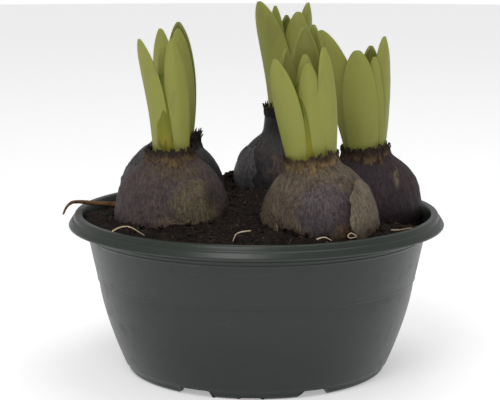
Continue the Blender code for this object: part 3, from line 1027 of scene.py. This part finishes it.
@dataclass
class Bulb:
    """One bulb with its skin, ragged collar, torn scales and loose flaps.

    Attributes:
        name: Its name.
        neck: Middle of the top of its neck.
        belly: Where its widest part stands, as (x, y).
        radius: Its greatest radius.
        height: From its base to its shoulder.
        neck_radius: Radius of its neck.
        finish: Finish of its skin.
        scales: Finish of its collar.
        flap_finish: Finish of its flaps, or None for the skin's own.
        flaps: Its loose sheets of skin.
        sheath: How far the neck rises above the shoulder.
        seed: Shifts its lumps and its random draws.
        collar_height: How far the collar's tips stand up.
        socket: Depth of the hollow in the neck.
        outline: Shares of the radius and of the height, from the shoulder down.
    """

    name: str
    neck: Triple
    belly: tuple[float, float]
    radius: float
    height: float
    neck_radius: float
    finish: SkinFinish
    scales: DryFinish
    flap_finish: SkinFinish | None = None
    flaps: tuple[Flap, ...] = ()
    sheath: float = 0.0
    seed: float = 0.0
    collar_height: float = 4.5
    steps: int = 144
    socket: float = 5.0
    collar_layers: tuple[int, ...] = (15, 17, 19)
    scale_thickness: float = 0.28
    flap_thickness: float = 0.3
    outline: tuple[tuple[float, float], ...] = (
        (0.50, 0.92), (0.68, 0.84), (0.86, 0.72), (0.97, 0.57), (1.00, 0.43), (0.94, 0.28), (0.76, 0.13),
        (0.42, 0.02),
    )

    def stand(self) -> Matrix:
        """Matrix, in millimetres, that stands the bulb where it grows."""
        rise = self.height + self.sheath
        lean = Vector((self.neck[0] - self.belly[0], self.neck[1] - self.belly[1], rise - 0.43 * self.height))
        axis = lean.normalized()
        turn = Vector((0.0, 0.0, 1.0)).rotation_difference(axis).to_matrix().to_4x4()
        return Matrix.Translation(Vector(self.neck) - axis * rise) @ turn

    def section(self) -> list[Vector]:
        """The outline from the neck down to the base, as (radius, height) points."""
        top = self.height + self.sheath
        points = [(self.neck_radius, top)]
        if self.sheath > 0.0:
            points.append((self.neck_radius + 0.8, self.height))
        points += [(share * self.radius, level * self.height) for share, level in self.outline]
        return smooth_line([*points, (0.0, 0.0)], 7)

    def radius_at(self, level: float) -> float:
        """Radius of the smooth outline at a height above the base."""
        line = self.section()
        for upper, lower in zip(line, line[1:]):
            if lower.y <= level <= upper.y:
                share = (upper.y - level) / max(upper.y - lower.y, 0.001)
                return upper.x + (lower.x - upper.x) * share
        return self.neck_radius

    def relief(self, angle: float, level: float) -> float:
        """How far the skin stands out from the smooth outline.

        Args:
            angle: Compass angle round the bulb's axis, in radians.
            level: Share of the bulb's height.

        Returns:
            Millimetres outwards.
        """
        wheel = Vector((math.cos(angle), math.sin(angle), 0.0))
        big = lumps(Vector((wheel.x * 26.0, wheel.y * 26.0, level * 50.0)), 30.0, 2, self.seed)
        ribs = lumps(Vector((wheel.x * 60.0, wheel.y * 60.0, level * 14.0)), 9.0, 3, self.seed + 4.0)
        fine = lumps(Vector((wheel.x * 34.0, wheel.y * 34.0, level * 66.0)), 3.2, 3, self.seed + 8.0)
        fade = smoothstep(1.0, 0.9, level)
        return fade * (1.3 * big + 0.55 * ribs + 0.28 * fine)

    def mark_wrap(self, shape: Shape) -> None:
        """Store each point's place round and up the bulb, for patterns that follow the skin."""
        wrap = shape.verts.layers.float_vector.new("wrap")
        for vert in shape.verts:
            angle = math.atan2(vert.co.y, vert.co.x)
            vert[wrap] = (math.cos(angle), math.sin(angle), 2.0 * vert.co.z / self.height)

    def build_skin(self, material: Material) -> Piece:
        """Make the body of the bulb, closed, with a shallow socket in its neck."""
        top = self.height + self.sheath
        inner = self.neck_radius - 1.4
        floor = top - self.socket
        profile = [(0.0, floor), (inner * 0.6, floor), (inner, floor), (inner, top - 1.0), (inner + 0.4, top)]
        outline = self.section()
        shape = turned(profile + [(point.x, point.y) for point in outline], self.steps)
        for vert in shape.verts:
            radius = math.hypot(vert.co.x, vert.co.y)
            if radius < inner + 0.5 and vert.co.z > floor - 0.1 or radius < 1.0:
                continue
            angle = math.atan2(vert.co.y, vert.co.x)
            grow = self.relief(angle, vert.co.z / self.height) / radius
            vert.co.x *= 1.0 + grow
            vert.co.y *= 1.0 + grow
        self.mark_wrap(shape)
        bmesh.ops.transform(shape, matrix=self.stand(), verts=shape.verts)
        piece = as_object("bulb_skin_" + self.name, in_metres(shape), [material])
        return hand_over(piece, ["bulb_" + self.name])

    def build_collar(self, material: Material) -> Piece:
        """Make the ragged ring of dead scales round the shoot, with torn upright tips."""
        dice = random.Random(int(self.seed * 10) + 5)
        top = self.height + self.sheath
        shape = bmesh.new()
        for layer, count in enumerate(self.collar_layers):
            for index in range(count):
                angle = 2.0 * math.pi * (index + dice.uniform(-0.35, 0.35)) / count
                width = dice.uniform(3.6, 7.0)
                tall = self.collar_height * dice.uniform(0.5, 1.15) * (1.0 - 0.18 * layer)
                drop = dice.uniform(2.5, 6.0) + 2.2 * layer
                lean = dice.uniform(-0.12, 0.2) + 0.16 * layer
                out = self.neck_radius - 0.2 + 0.5 * layer
                self.add_scale(shape, dice, angle, out, top, width, tall, drop, lean)
        bmesh.ops.solidify(shape, geom=list(shape.faces), thickness=self.scale_thickness)
        bmesh.ops.transform(shape, matrix=self.stand(), verts=shape.verts)
        piece = as_object("collar_" + self.name, in_metres(shape), [material])
        return hand_over(piece)

    def add_scale(self, shape: Shape, dice: random.Random, angle: float, out: float, top: float,
                  width: float, tall: float, drop: float, lean: float) -> None:
        """Add one torn scale that hugs the neck below and stands free above.

        Args:
            shape: Where it is added.
            dice: Random numbers.
            angle: Where it stands round the neck.
            out: Distance from the axis.
            top: Height of the neck.
            width: Its width.
            tall: How far it stands above the neck.
            drop: How far it runs down.
            lean: How far its tip leans outwards, as a slope.
        """
        made = bmesh.ops.create_grid(shape, x_segments=4, y_segments=5, size=1.0)
        uvs = shape.loops.layers.uv.verify()
        tips = [dice.uniform(0.45, 1.0) for _ in range(5)]
        spots = {}
        for vert in made["verts"]:
            across, up = vert.co.x, 0.5 * (vert.co.y + 1.0)
            spots[vert] = (0.5 + 0.5 * across, up)
            column = min(4, int(round((across + 1.0) * 2.0)))
            rise = -drop + (drop + tall * tips[column]) * up
            level = min(1.0, (top + min(rise, 0.0)) / self.height)
            reach = max(out, self.radius_at(top + min(rise, 0.0)) + 0.35 if level < 1.0 else out)
            reach -= 2.2 * (1.0 - smoothstep(0.0, 0.5, up))
            reach += lean * max(rise, 0.0) + 0.25 * math.sin(across * 4.0 + angle * 9.0)
            narrowing = width * (1.0 - 0.35 * up)
            turn = angle + across * 0.5 * narrowing / reach
            vert.co = Vector((reach * math.cos(turn), reach * math.sin(turn), top + rise))
        for vert, spot in spots.items():
            for loop in vert.link_loops:
                loop[uvs].uv = spot

    def build_flap(self, flap: Flap, material: Material) -> Piece:
        """Make one loose sheet of skin with a torn edge."""
        shape = bmesh.new()
        made = bmesh.ops.create_grid(shape, x_segments=26, y_segments=30, size=1.0)
        for vert in made["verts"]:
            across, up = vert.co.x, 0.5 * (vert.co.y + 1.0)
            torn = 1.0 + 0.16 * lumps(Vector((up * 30.0, flap.turn, self.seed)), 6.0, 3, 2.0)
            ends = 1.0 - 0.55 * abs(2.0 * up - 1.0) ** 3.0
            level = (flap.low + (flap.high - flap.low) * up) * self.height
            level += 1.6 * lumps(Vector((across * 20.0, 5.0, flap.turn)), 7.0, 3, 7.0) * abs(2.0 * up - 1.0)
            angle = math.radians(flap.turn + across * flap.span * ends * torn)
            loose = smoothstep(0.2, 1.0, across * flap.free)
            reach = self.radius_at(level) + flap.lift + flap.curl * loose**1.5
            reach += self.relief(angle, level / self.height) * (1.0 - 0.6 * loose)
            reach += 0.5 * lumps(Vector((across * 14.0, up * 26.0, 3.0)), 6.0, 2, self.seed)
            vert.co = Vector((reach * math.cos(angle), reach * math.sin(angle), level))
        self.mark_wrap(shape)
        bmesh.ops.transform(shape, matrix=self.stand(), verts=shape.verts)
        bmesh.ops.recalc_face_normals(shape, faces=shape.faces)
        bmesh.ops.solidify(shape, geom=list(shape.faces), thickness=self.flap_thickness)
        piece = as_object("flap_" + flap.name, in_metres(shape), [material])
        return hand_over(piece)

    def build(self, effects: Effects) -> None:
        """Make the bulb and everything on it."""
        self.build_skin(self.finish.build(effects))
        self.build_collar(self.scales.build(effects))
        if self.flaps:
            material = (self.flap_finish or self.finish).build(effects)
            for flap in self.flaps:
                self.build_flap(flap, material)


# ---------------------------------------------------------------- shoots


@dataclass
class Blade:
    """One strap leaf from its foot in the neck to its blunt hooded tip.

    Attributes:
        name: Its name within the shoot.
        foot_place: Foot of its middle line, as (x, y).
        tip: Tip of its middle line.
        width: Its greatest width.
        facing: Compass angle of its outer face, in degrees.
        bow: How far the middle bows outwards.
        sway: How far the middle sways sideways.
        wrap: Half of the angle that its section bends through, in degrees.
        hood: How far the tip curls inwards.
        widest: Share of the length where it is widest.
        foot: Width at the foot as a share of the greatest.
        blunt: How blunt the tip is, less being blunter.
        keel: How far the middle of the outer face stands out as a ridge.
        thick: Its thickness.
    """

    name: str
    foot_place: tuple[float, float]
    tip: Triple
    width: float
    facing: float
    bow: float = 0.0
    sway: float = 0.0
    wrap: float = 48.0
    hood: float = 1.5
    widest: float = 0.48
    foot: float = 0.85
    blunt: float = 0.6
    keel: float = 0.0
    thick: float = 1.7
    rows: int = 40
    columns: int = 12

    def base(self, bulb: Bulb) -> Vector:
        """The foot's place on the floor of the socket."""
        axis = bulb.stand().to_3x3() @ Vector((0.0, 0.0, 1.0))
        floor = Vector(bulb.neck) - axis * (bulb.socket - 0.4)
        drop = (self.foot_place[0] - floor.x) * axis.x + (self.foot_place[1] - floor.y) * axis.y
        return Vector((*self.foot_place, floor.z - drop / axis.z))

    def outward(self) -> Vector:
        """Direction that the outer face looks in."""
        return Vector((math.cos(math.radians(self.facing)), math.sin(math.radians(self.facing)), 0.0))

    def middle(self, base: Vector, along: float) -> Vector:
        """A point of the middle line at a share of the length."""
        out = self.outward()
        side = Vector((-out.y, out.x, 0.0))
        arch = math.sin(math.pi * along**0.9)
        curl = max(0.0, (along - 0.86) / 0.14) ** 2
        straight = base.lerp(Vector(self.tip), along)
        return straight + out * (self.bow * arch - self.hood * curl) + side * self.sway * arch

    def half_width(self, along: float) -> float:
        """Half of the chord across the blade at a share of the length."""
        if along < self.widest:
            rise = math.sin(0.5 * math.pi * along / self.widest)
            return 0.5 * self.width * (self.foot + (1.0 - self.foot) * rise)
        left = (1.0 - along) / (1.0 - self.widest)
        return 0.5 * self.width * max(0.0, 1.0 - (1.0 - left) ** 2) ** self.blunt

    def point(self, base: Vector, along: float, across: float) -> Vector:
        """A point of the outer face, along from 0 to 1 and across from -1 to 1."""
        ahead = self.middle(base, min(along + 0.01, 1.0))
        behind = self.middle(base, max(along - 0.01, 0.0))
        up = (ahead - behind).normalized()
        out = self.outward()
        out = (out - up * out.dot(up)).normalized()
        side = up.cross(out)
        wrap = math.radians(self.wrap * (1.0 + 0.35 * smoothstep(0.8, 1.0, along)))
        bend = self.half_width(along) / math.sin(min(wrap, 1.5))
        angle = across * wrap
        ridge = self.keel * max(0.0, 1.0 - abs(across) * 2.4) * smoothstep(0.0, 0.35, along)
        wave = 0.22 * lumps(Vector((across * 5.0, along * 70.0, self.facing)), 12.0, 2, self.width)
        return (
            self.middle(base, along) + side * bend * math.sin(angle)
            - out * (bend * (1.0 - math.cos(angle)) - ridge - wave)
        )

    def build(self, bulb: Bulb, materials: Sequence[Material]) -> Piece:
        """Make the leaf: a bent grid, its thickness, and a rounding of its margins.

        Args:
            bulb: The bulb that it grows from.
            materials: Finishes of its outer and its inner face.

        Returns:
            The piece.
        """
        base = self.base(bulb)
        shape = bmesh.new()
        bmesh.ops.create_grid(shape, x_segments=self.columns, y_segments=self.rows, size=1.0, calc_uvs=True)
        for vert in shape.verts:
            share = 0.5 * (vert.co.y + 1.0)
            along = 0.993 * (1.0 - (1.0 - share) ** 1.5)
            across = math.sin(0.5 * math.pi * vert.co.x) * 0.35 + vert.co.x * 0.65
            vert.co = self.point(base, along, across)
        blade = as_object(f"blade_{bulb.name}_{self.name}", in_metres(shape), materials)
        thickness = blade.modifiers.new("thickness", "SOLIDIFY")
        thickness.thickness = self.thick * MM
        thickness.offset = -1.0
        thickness.material_offset = 1
        thickness.material_offset_rim = 1
        rounding = blade.modifiers.new("rounding", "SUBSURF")
        rounding.levels = 1
        rounding.render_levels = 1
        return hand_over(blade, [f"leaf_{bulb.name}_{self.name}"])


@dataclass
class Core:
    """The tight roll of hidden inner leaves that fills the middle of a shoot."""

    radius: float = 8.4
    rise: float = 46.0
    lean: tuple[float, float] = (0.0, 0.0)

    def build(self, bulb: Bulb, materials: Sequence[Material]) -> Piece:
        """Make the roll as a closed ribbed cone.

        Args:
            bulb: The bulb that it grows from.
            materials: Its one finish.

        Returns:
            The piece.
        """
        profile = [(0.0, self.rise)]
        for index in range(1, 15):
            share = index / 14.0
            out = self.radius * math.sin(0.5 * math.pi * share) ** 0.7
            profile.append((out, self.rise * (1.0 - share**1.6)))
        profile += [(self.radius, -bulb.socket + 0.4), (0.0, -bulb.socket + 0.4)]
        shape = turned(profile, 48)
        for vert in shape.verts:
            angle = math.atan2(vert.co.y, vert.co.x)
            rib = 1.0 + 0.05 * math.sin(3.0 * angle + 1.0) + 0.03 * math.sin(7.0 * angle)
            share = max(0.0, vert.co.z / self.rise)
            vert.co.x = vert.co.x * rib + self.lean[0] * share
            vert.co.y = vert.co.y * rib + self.lean[1] * share
        uvs = shape.loops.layers.uv.verify()
        for face in shape.faces:
            for loop in face.loops:
                co = loop.vert.co
                loop[uvs].uv = (0.5 + 0.4 * math.sin(math.atan2(co.y, co.x)), max(0.0, co.z / 75.0))
        bmesh.ops.translate(shape, vec=bulb.neck, verts=shape.verts)
        return hand_over(as_object("shoot_core_" + bulb.name, in_metres(shape), materials))


# ---------------------------------------------------------------- roots


@dataclass
class Root:
    """A dry surface root, thick where it starts and thin at its end."""

    name: str
    radius: float
    route: tuple[Triple, ...]
    finish: DryFinish
    end: float = 0.4
    branches: tuple[tuple[Triple, ...], ...] = ()

    @staticmethod
    def stray(point: Vector, seed: float) -> Vector:
        """How far a root strays from its smooth route at a point."""
        return Vector((
            0.12 * lumps(point, 2.4, 2, seed), 0.12 * lumps(point, 2.4, 2, seed + 3.0),
            0.1 * lumps(point, 2.0, 2, seed + 5.0),
        ))

    def build(self, effects: Effects) -> Piece:
        """Make the root and its side branches."""
        shape = bmesh.new()
        for index, corners in enumerate((self.route, *self.branches)):
            line = smooth_line(corners, 6)
            seed = self.radius + index
            line = [point + self.stray(point, seed) for point in line]
            thick = self.radius * (1.0 if index == 0 else 0.6)
            tube(shape, line, lambda share, thick=thick: thick * (1.0 - (1.0 - self.end) * share), 8)
        bmesh.ops.recalc_face_normals(shape, faces=shape.faces)
        piece = as_object("strand_" + self.name, in_metres(shape), [self.finish.build(effects)])
        return hand_over(piece, [self.name])


# ---------------------------------------------------------------- planting


BROWN_SCALES = DryFinish("scales_brown", (0.055, 0.032, 0.018), (0.12, 0.075, 0.035), edge_weight=0.9)
OCHRE_SCALES = DryFinish("scales_ochre", (0.1, 0.062, 0.028), (0.2, 0.135, 0.06), edge_weight=0.75)
BLACK_SCALES = DryFinish("scales_black", (0.009, 0.008, 0.007), (0.026, 0.022, 0.018), edge_weight=0.6)

FRONT_LEFT_SKIN = SkinFinish(
    "skin_front_left", (0.062, 0.038, 0.04), (0.098, 0.066, 0.066), (0.045, 0.026, 0.018),
    (
        SkinPatch((0.15, 0.118, 0.062), (-33.0, -66.0, 110.0), (14.0, 20.0, 19.0), 0.85, 0.55, 0.4),
        SkinPatch((0.19, 0.135, 0.085), (-44.0, -68.0, 98.0), (17.0, 16.0, 6.0), 0.7, 0.6, 0.5),
        SkinPatch((0.025, 0.022, 0.02), (-25.0, -58.0, 117.0), (5.0, 12.0, 7.0), 0.7, 0.7, 0.6),
        SkinPatch((0.11, 0.075, 0.04), (-48.0, -52.0, 131.0), (15.0, 15.0, 6.0), 0.75, 0.6, 0.5),
    ),
)
BACK_LEFT_SKIN = SkinFinish(
    "skin_back_left", (0.055, 0.05, 0.052), (0.095, 0.088, 0.086), (0.02, 0.018, 0.017),
    (SkinPatch((0.02, 0.018, 0.018), (-25.0, 24.0, 112.0), (12.0, 16.0, 30.0), 0.85, 0.5, 0.4),),
)
BACK_SKIN = SkinFinish(
    "skin_back", (0.035, 0.031, 0.033), (0.062, 0.052, 0.052), (0.015, 0.012, 0.012),
    (
        SkinPatch((0.15, 0.14, 0.125), (-10.0, 44.0, 118.0), (5.0, 14.0, 16.0), 0.6, 0.6, 0.5),
        SkinPatch((0.13, 0.085, 0.06), (14.0, 28.0, 117.0), (5.0, 10.0, 11.0), 0.7, 0.7, 0.5),
        SkinPatch((0.012, 0.011, 0.011), (19.0, 50.0, 150.0), (18.0, 18.0, 12.0), 0.9, 0.5, 0.4),
    ),
)
FRONT_RIGHT_SKIN = SkinFinish(
    "skin_front_right", (0.17, 0.125, 0.085), (0.115, 0.085, 0.06), (0.06, 0.036, 0.02),
    (
        SkinPatch((0.085, 0.066, 0.075), (40.0, -84.0, 112.0), (18.5, 12.0, 16.0), 0.95, 0.35, 0.22),
        SkinPatch((0.125, 0.105, 0.105), (36.0, -84.0, 119.0), (9.0, 10.0, 7.0), 0.5, 0.7, 0.6),
        SkinPatch((0.17, 0.09, 0.04), (51.0, -80.0, 100.0), (8.0, 8.0, 4.0), 0.8, 0.6, 0.5),
        SkinPatch((0.02, 0.014, 0.012), (21.0, -72.0, 132.0), (7.0, 9.0, 4.5), 0.9, 0.6, 0.5),
        SkinPatch((0.2, 0.15, 0.085), (30.0, -70.0, 131.0), (14.0, 10.0, 3.0), 0.7, 0.6, 0.5),
    ),
    net_weight=0.75,
)
RIGHT_SKIN = SkinFinish(
    "skin_right", (0.028, 0.016, 0.02), (0.05, 0.03, 0.033), (0.014, 0.008, 0.008),
    (
        SkinPatch((0.2, 0.15, 0.09), (85.0, -12.0, 120.0), (1.6, 8.0, 6.0), 0.8, 0.5, 0.5),
        SkinPatch((0.04, 0.018, 0.032), (62.0, -14.0, 110.0), (14.0, 10.0, 14.0), 0.6, 0.7, 0.6),
    ),
)
TAN_PAPER = SkinFinish(
    "paper_tan", (0.16, 0.125, 0.082), (0.215, 0.17, 0.112), (0.07, 0.045, 0.028), net_weight=0.6,
)
GREY_PAPER = SkinFinish(
    "paper_grey", (0.085, 0.082, 0.085), (0.13, 0.125, 0.125), (0.035, 0.03, 0.03), net_weight=0.4,
)

BULBS = (
    Bulb("front_left", (-51.0, -36.0, 139.0), (-50.0, -35.0), 34.0, 66.0, 13.6, FRONT_LEFT_SKIN, BROWN_SCALES,
         seed=1.0),
    Bulb("back_left", (-49.5, 36.0, 138.0), (-53.0, 36.0), 33.2, 65.0, 13.6, BACK_LEFT_SKIN, BLACK_SCALES,
         GREY_PAPER, (Flap("back_left", 205.0, 38.0, 0.36, 0.72, 0.5, 2.2, 1.0),),
         seed=2.0, collar_height=7.0),
    Bulb("back", (19.5, 60.0, 153.0), (19.5, 60.0), 33.0, 66.0, 13.7, BACK_SKIN, BLACK_SCALES, GREY_PAPER,
         (Flap("back", 200.0, 30.0, 0.3, 0.8, 0.4, 1.2, -1.0),), 11.0, 3.0, 5.0),
    Bulb("front_right", (31.5, -53.0, 138.0), (37.0, -52.0), 33.6, 67.0, 15.2, FRONT_RIGHT_SKIN, OCHRE_SCALES,
         TAN_PAPER, (Flap("front_right", 330.0, 34.0, 0.2, 0.78, 0.8, 4.0, -1.0),
                     Flap("front_right_small", 205.0, 22.0, 0.3, 0.62, 0.5, 2.2, 1.0)), seed=4.0),
    Bulb("right", (67.5, 12.0, 133.5), (70.0, 12.0), 33.0, 64.0, 14.4, RIGHT_SKIN, BROWN_SCALES, seed=5.0),
)

SHOOTS = {
    "front_left": (
        Blade("left", (-57.4, -42.6), (-69.5, -42.0, 206.2), 14.6, 232, bow=-2.6, sway=1.6, wrap=36),
        Blade("front", (-45.6, -43.2), (-49.4, -41.8, 206.4), 15.2, 280, bow=0.6, sway=1.2, wrap=42,
              keel=0.5),
        Blade("inner", (-51.6, -36.0), (-55.4, -36.0, 203.4), 10.5, 255, wrap=36, foot=0.8),
        Blade("back", (-50.0, -27.6), (-47.0, -27.0, 203.0), 14.0, 84, bow=0.8),
    ),
    "back_left": (
        Blade("left", (-56.6, 32.6), (-60.6, 31.6, 207.0), 17.0, 242, bow=0.6, hood=1.0, wrap=40, blunt=0.55),
        Blade("front", (-45.0, 28.6), (-48.5, 29.4, 207.2), 18.0, 288, bow=1.0, sway=0.8, foot=0.72),
        Blade("back", (-46.5, 45.4), (-48.8, 44.3, 210.6), 20.0, 82, bow=1.2, sway=-0.6, foot=0.7),
    ),
    "back": (
        Blade("left", (13.6, 52.4), (0.6, 49.4, 222.8), 21.0, 242, bow=-3.6, sway=2.6, wrap=38, foot=0.72),
        Blade("left_inner", (14.6, 60.0), (11.4, 59.0, 219.6), 14.0, 240, foot=0.7, wrap=40),
        Blade("front", (25.8, 53.6), (27.0, 55.0, 216.0), 20.4, 272, bow=0.4, foot=0.62, wrap=42, blunt=0.55),
        Blade("right", (28.3, 62.0), (34.6, 63.0, 221.4), 15.4, 306, bow=0.4, wrap=58, foot=0.68, keel=0.9),
        Blade("back", (18.9, 71.2), (19.6, 73.2, 213.0), 15.0, 95, bow=0.8, foot=0.72),
    ),
    "front_right": (
        Blade("left", (23.0, -60.8), (8.9, -61.4, 196.2), 18.0, 240, bow=-0.6, sway=0.6, wrap=36, foot=0.7),
        Blade("left_inner", (22.6, -49.6), (15.6, -46.6, 201.0), 16.0, 128, bow=0.6, wrap=40, foot=0.7),
        Blade("back", (31.6, -42.2), (27.4, -40.4, 213.6), 21.0, 94, bow=0.8, wrap=40, foot=0.66),
        Blade("front", (33.6, -62.2), (28.8, -59.4, 193.8), 15.6, 268, bow=0.6, wrap=40, foot=0.8, keel=0.8,
              blunt=0.52),
        Blade("inner", (30.8, -55.2), (27.4, -53.6, 198.2), 14.2, 262, bow=0.4, wrap=36, foot=0.7,
              blunt=0.52),
        Blade("right", (43.0, -57.4), (38.9, -57.4, 202.6), 13.0, 300, bow=1.8, wrap=40, foot=0.7,
              blunt=0.52),
        Blade("right_inner", (38.4, -45.4), (33.2, -38.4, 214.6), 15.0, 76, bow=0.6, wrap=40, foot=0.72),
    ),
    "right": (
        Blade("left", (60.4, 7.6), (37.4, 9.6, 207.4), 22.0, 236, bow=-3.6, sway=1.0, wrap=36, foot=0.66,
              widest=0.55, blunt=0.55),
        Blade("front", (65.6, 0.6), (60.8, 2.6, 195.8), 22.4, 264, bow=0.6, wrap=42, foot=0.76, blunt=0.5),
        Blade("back", (69.0, 20.8), (70.3, 17.6, 197.8), 16.4, 92, bow=1.0, foot=0.8, blunt=0.55),
        Blade("inner", (73.6, 5.6), (71.9, 5.4, 191.6), 11.4, 268, bow=0.8, wrap=36, foot=0.8, blunt=0.55),
        Blade("right", (77.0, 12.0), (79.6, 12.6, 203.6), 15.6, 306, bow=1.4, wrap=56, foot=0.7, keel=0.9),
    ),
}

CORES = {
    "front_left": Core(lean=(-4.0, 0.0)),
    "back_left": Core(lean=(-2.0, 0.0)),
    "back": Core(rise=44.0, lean=(-1.0, 0.0)),
    "front_right": Core(9.4, 44.0, (-6.0, 0.0)),
    "right": Core(9.0, 44.0, (0.0, 0.0)),
}

THREADS = DryFinish("threads", (0.09, 0.05, 0.03), (0.2, 0.12, 0.07))
THICK_ROOT = DryFinish("root_brown", (0.10, 0.048, 0.022), (0.2, 0.105, 0.05), scale=180.0)
THIN_ROOT = DryFinish("root_pale", (0.5, 0.38, 0.24), (0.62, 0.52, 0.38), scale=120.0)

ROOTS = (
    Root("root_over_rim", 2.0, (
        (-84.0, 10.0, 98.8), (-92.0, 12.0, 98.8), (-99.0, 12.0, 99.2), (-105.5, 10.5, 100.2),
        (-110.5, 7.0, 101.2), (-114.0, 1.0, 101.6), (-116.2, -6.0, 100.0), (-117.4, -13.0, 97.2),
    ), THICK_ROOT, 0.3),
    Root("root_left", 0.5, (
        (-82.5, -72.5, 98.3), (-79.5, -74.5, 100.4), (-76.0, -76.5, 101.8), (-72.0, -78.0, 101.8),
        (-68.0, -80.5, 100.2), (-63.5, -84.0, 98.2),
    ), THIN_ROOT),
    Root("root_front", 0.5, (
        (-3.5, -91.5, 102.2), (-8.0, -93.5, 102.2), (-11.5, -95.0, 101.2), (-12.6, -96.6, 99.4),
        (-13.4, -98.0, 97.6),
    ), THIN_ROOT),
    Root("root_curl", 0.5, (
        (33.0, -97.5, 98.6), (36.5, -97.0, 99.6), (39.0, -97.5, 99.4), (41.5, -98.5, 98.2),
    ), THIN_ROOT),
    Root("root_hook", 0.5, (
        (56.0, -86.5, 98.4), (53.0, -88.0, 100.2), (51.2, -90.0, 99.4), (52.0, -91.6, 98.2),
        (56.0, -91.4, 98.8),
    ), THIN_ROOT),
    Root("root_right", 0.5, (
        (78.0, -59.5, 96.4), (82.5, -61.0, 96.8), (86.0, -62.5, 97.8), (89.5, -64.0, 98.6),
    ), THIN_ROOT),
)


# ---------------------------------------------------------------- studio


@dataclass(frozen=True)
class Lamp:
    """A soft square lamp."""

    name: str
    place: Triple
    size: float
    power: float


@dataclass
class Studio:
    """A plain pale floor, soft light and the camera."""

    camera_place: Triple = (-0.0039, -0.985, 0.279)
    camera_pitch: float = 79.9
    lens: float = 117.14
    sky: float = 0.5
    floor_tone: float = 0.93
    floor_glow: float = 0.36
    aim: Triple = (0.0, 0.0, 0.12)
    lamps: tuple[Lamp, ...] = (
        Lamp("key", (-0.35, -1.2, 1.3), 0.7, 8.0),
        Lamp("top", (0.3, 0.2, 1.7), 1.0, 5.0),
    )

    def build_camera(self) -> None:
        """Stand the camera a little above the rim and look slightly down."""
        data = bpy.data.cameras.new("camera")
        data.lens = self.lens
        data.sensor_width = 36.0
        camera = bpy.data.objects.new("camera", data)
        camera.location = self.camera_place
        camera.rotation_euler = (math.radians(self.camera_pitch), 0.0, 0.0)
        bpy.context.scene.collection.objects.link(camera)
        bpy.context.scene.camera = camera

    def add_lamp(self, lamp: Lamp) -> None:
        """Hang one lamp and turn it to the plant."""
        data = bpy.data.lights.new(lamp.name, "AREA")
        data.size = lamp.size
        data.energy = lamp.power
        light = bpy.data.objects.new(lamp.name, data)
        light.location = lamp.place
        ray = Vector(self.aim) - Vector(lamp.place)
        light.rotation_euler = ray.to_track_quat("-Z", "Y").to_euler()
        bpy.context.scene.collection.objects.link(light)

    def build_floor(self) -> None:
        """Lay the floor."""
        shape = bmesh.new()
        bmesh.ops.create_circle(shape, cap_ends=True, segments=96, radius=4.0)
        material = bpy.data.materials.new("floor")
        material.use_nodes = True
        shader = material.node_tree.nodes["Principled BSDF"]
        shader.inputs["Base Color"].default_value = (*[self.floor_tone] * 3, 1.0)
        shader.inputs["Roughness"].default_value = 0.9
        shader.inputs["Emission Color"].default_value = (1.0, 1.0, 1.0, 1.0)
        shader.inputs["Emission Strength"].default_value = self.floor_glow
        as_object("floor", shape, [material])

    def build(self) -> None:
        """Set the light of the world, the lamps and the floor."""
        scene = bpy.context.scene
        scene.view_settings.view_transform = "Standard"
        world = bpy.data.worlds.new("soft_white")
        world.use_nodes = True
        w = Wiring(world.node_tree)
        background = w.tree.nodes["Background"]
        background.inputs["Color"].default_value = (1.0, 1.0, 1.0, 1.0)
        seen = w.node("ShaderNodeLightPath").outputs["Is Camera Ray"]
        strength = w.math("ADD", w.times(seen, 1.0 - self.sky), self.sky)
        w.tree.links.new(strength, background.inputs["Strength"])
        scene.world = world
        for lamp in self.lamps:
            self.add_lamp(lamp)
        self.build_floor()


def main() -> None:
    """Build the plant and the studio."""
    logging.basicConfig(level=logging.INFO, format="%(message)s")
    studio = Studio()
    studio.build_camera()
    effects = Effects()
    bowl = Bowl()
    bowl.build(BowlPlastic().build(effects))
    peat = Peat()
    grains = PeatFinish().build(effects)
    peat.build_bed(bowl, grains)
    peat.build_crumbs(bowl, BULBS, grains)
    peat.build_fibres(bowl, BULBS, THREADS.build(effects))
    for bulb in BULBS:
        bulb.build(effects)
    # the second finish is a darker copy of the first, painted shade on the leaves' inner faces, their margins
    # and the hidden cores
    faces = [
        LeafFinish("leaf_outside").build(effects),
        LeafFinish("leaf_inside_shaded", painted_shade=0.78).build(effects),
    ]
    for bulb in BULBS:
        for blade in SHOOTS[bulb.name]:
            blade.build(bulb, faces)
        # the cores take the darker copy of the leaf finish, painted shade
        CORES[bulb.name].build(bulb, faces[1:])
    for root in ROOTS:
        root.build(effects)
    studio.build()


if __name__ == "__main__":
    main()
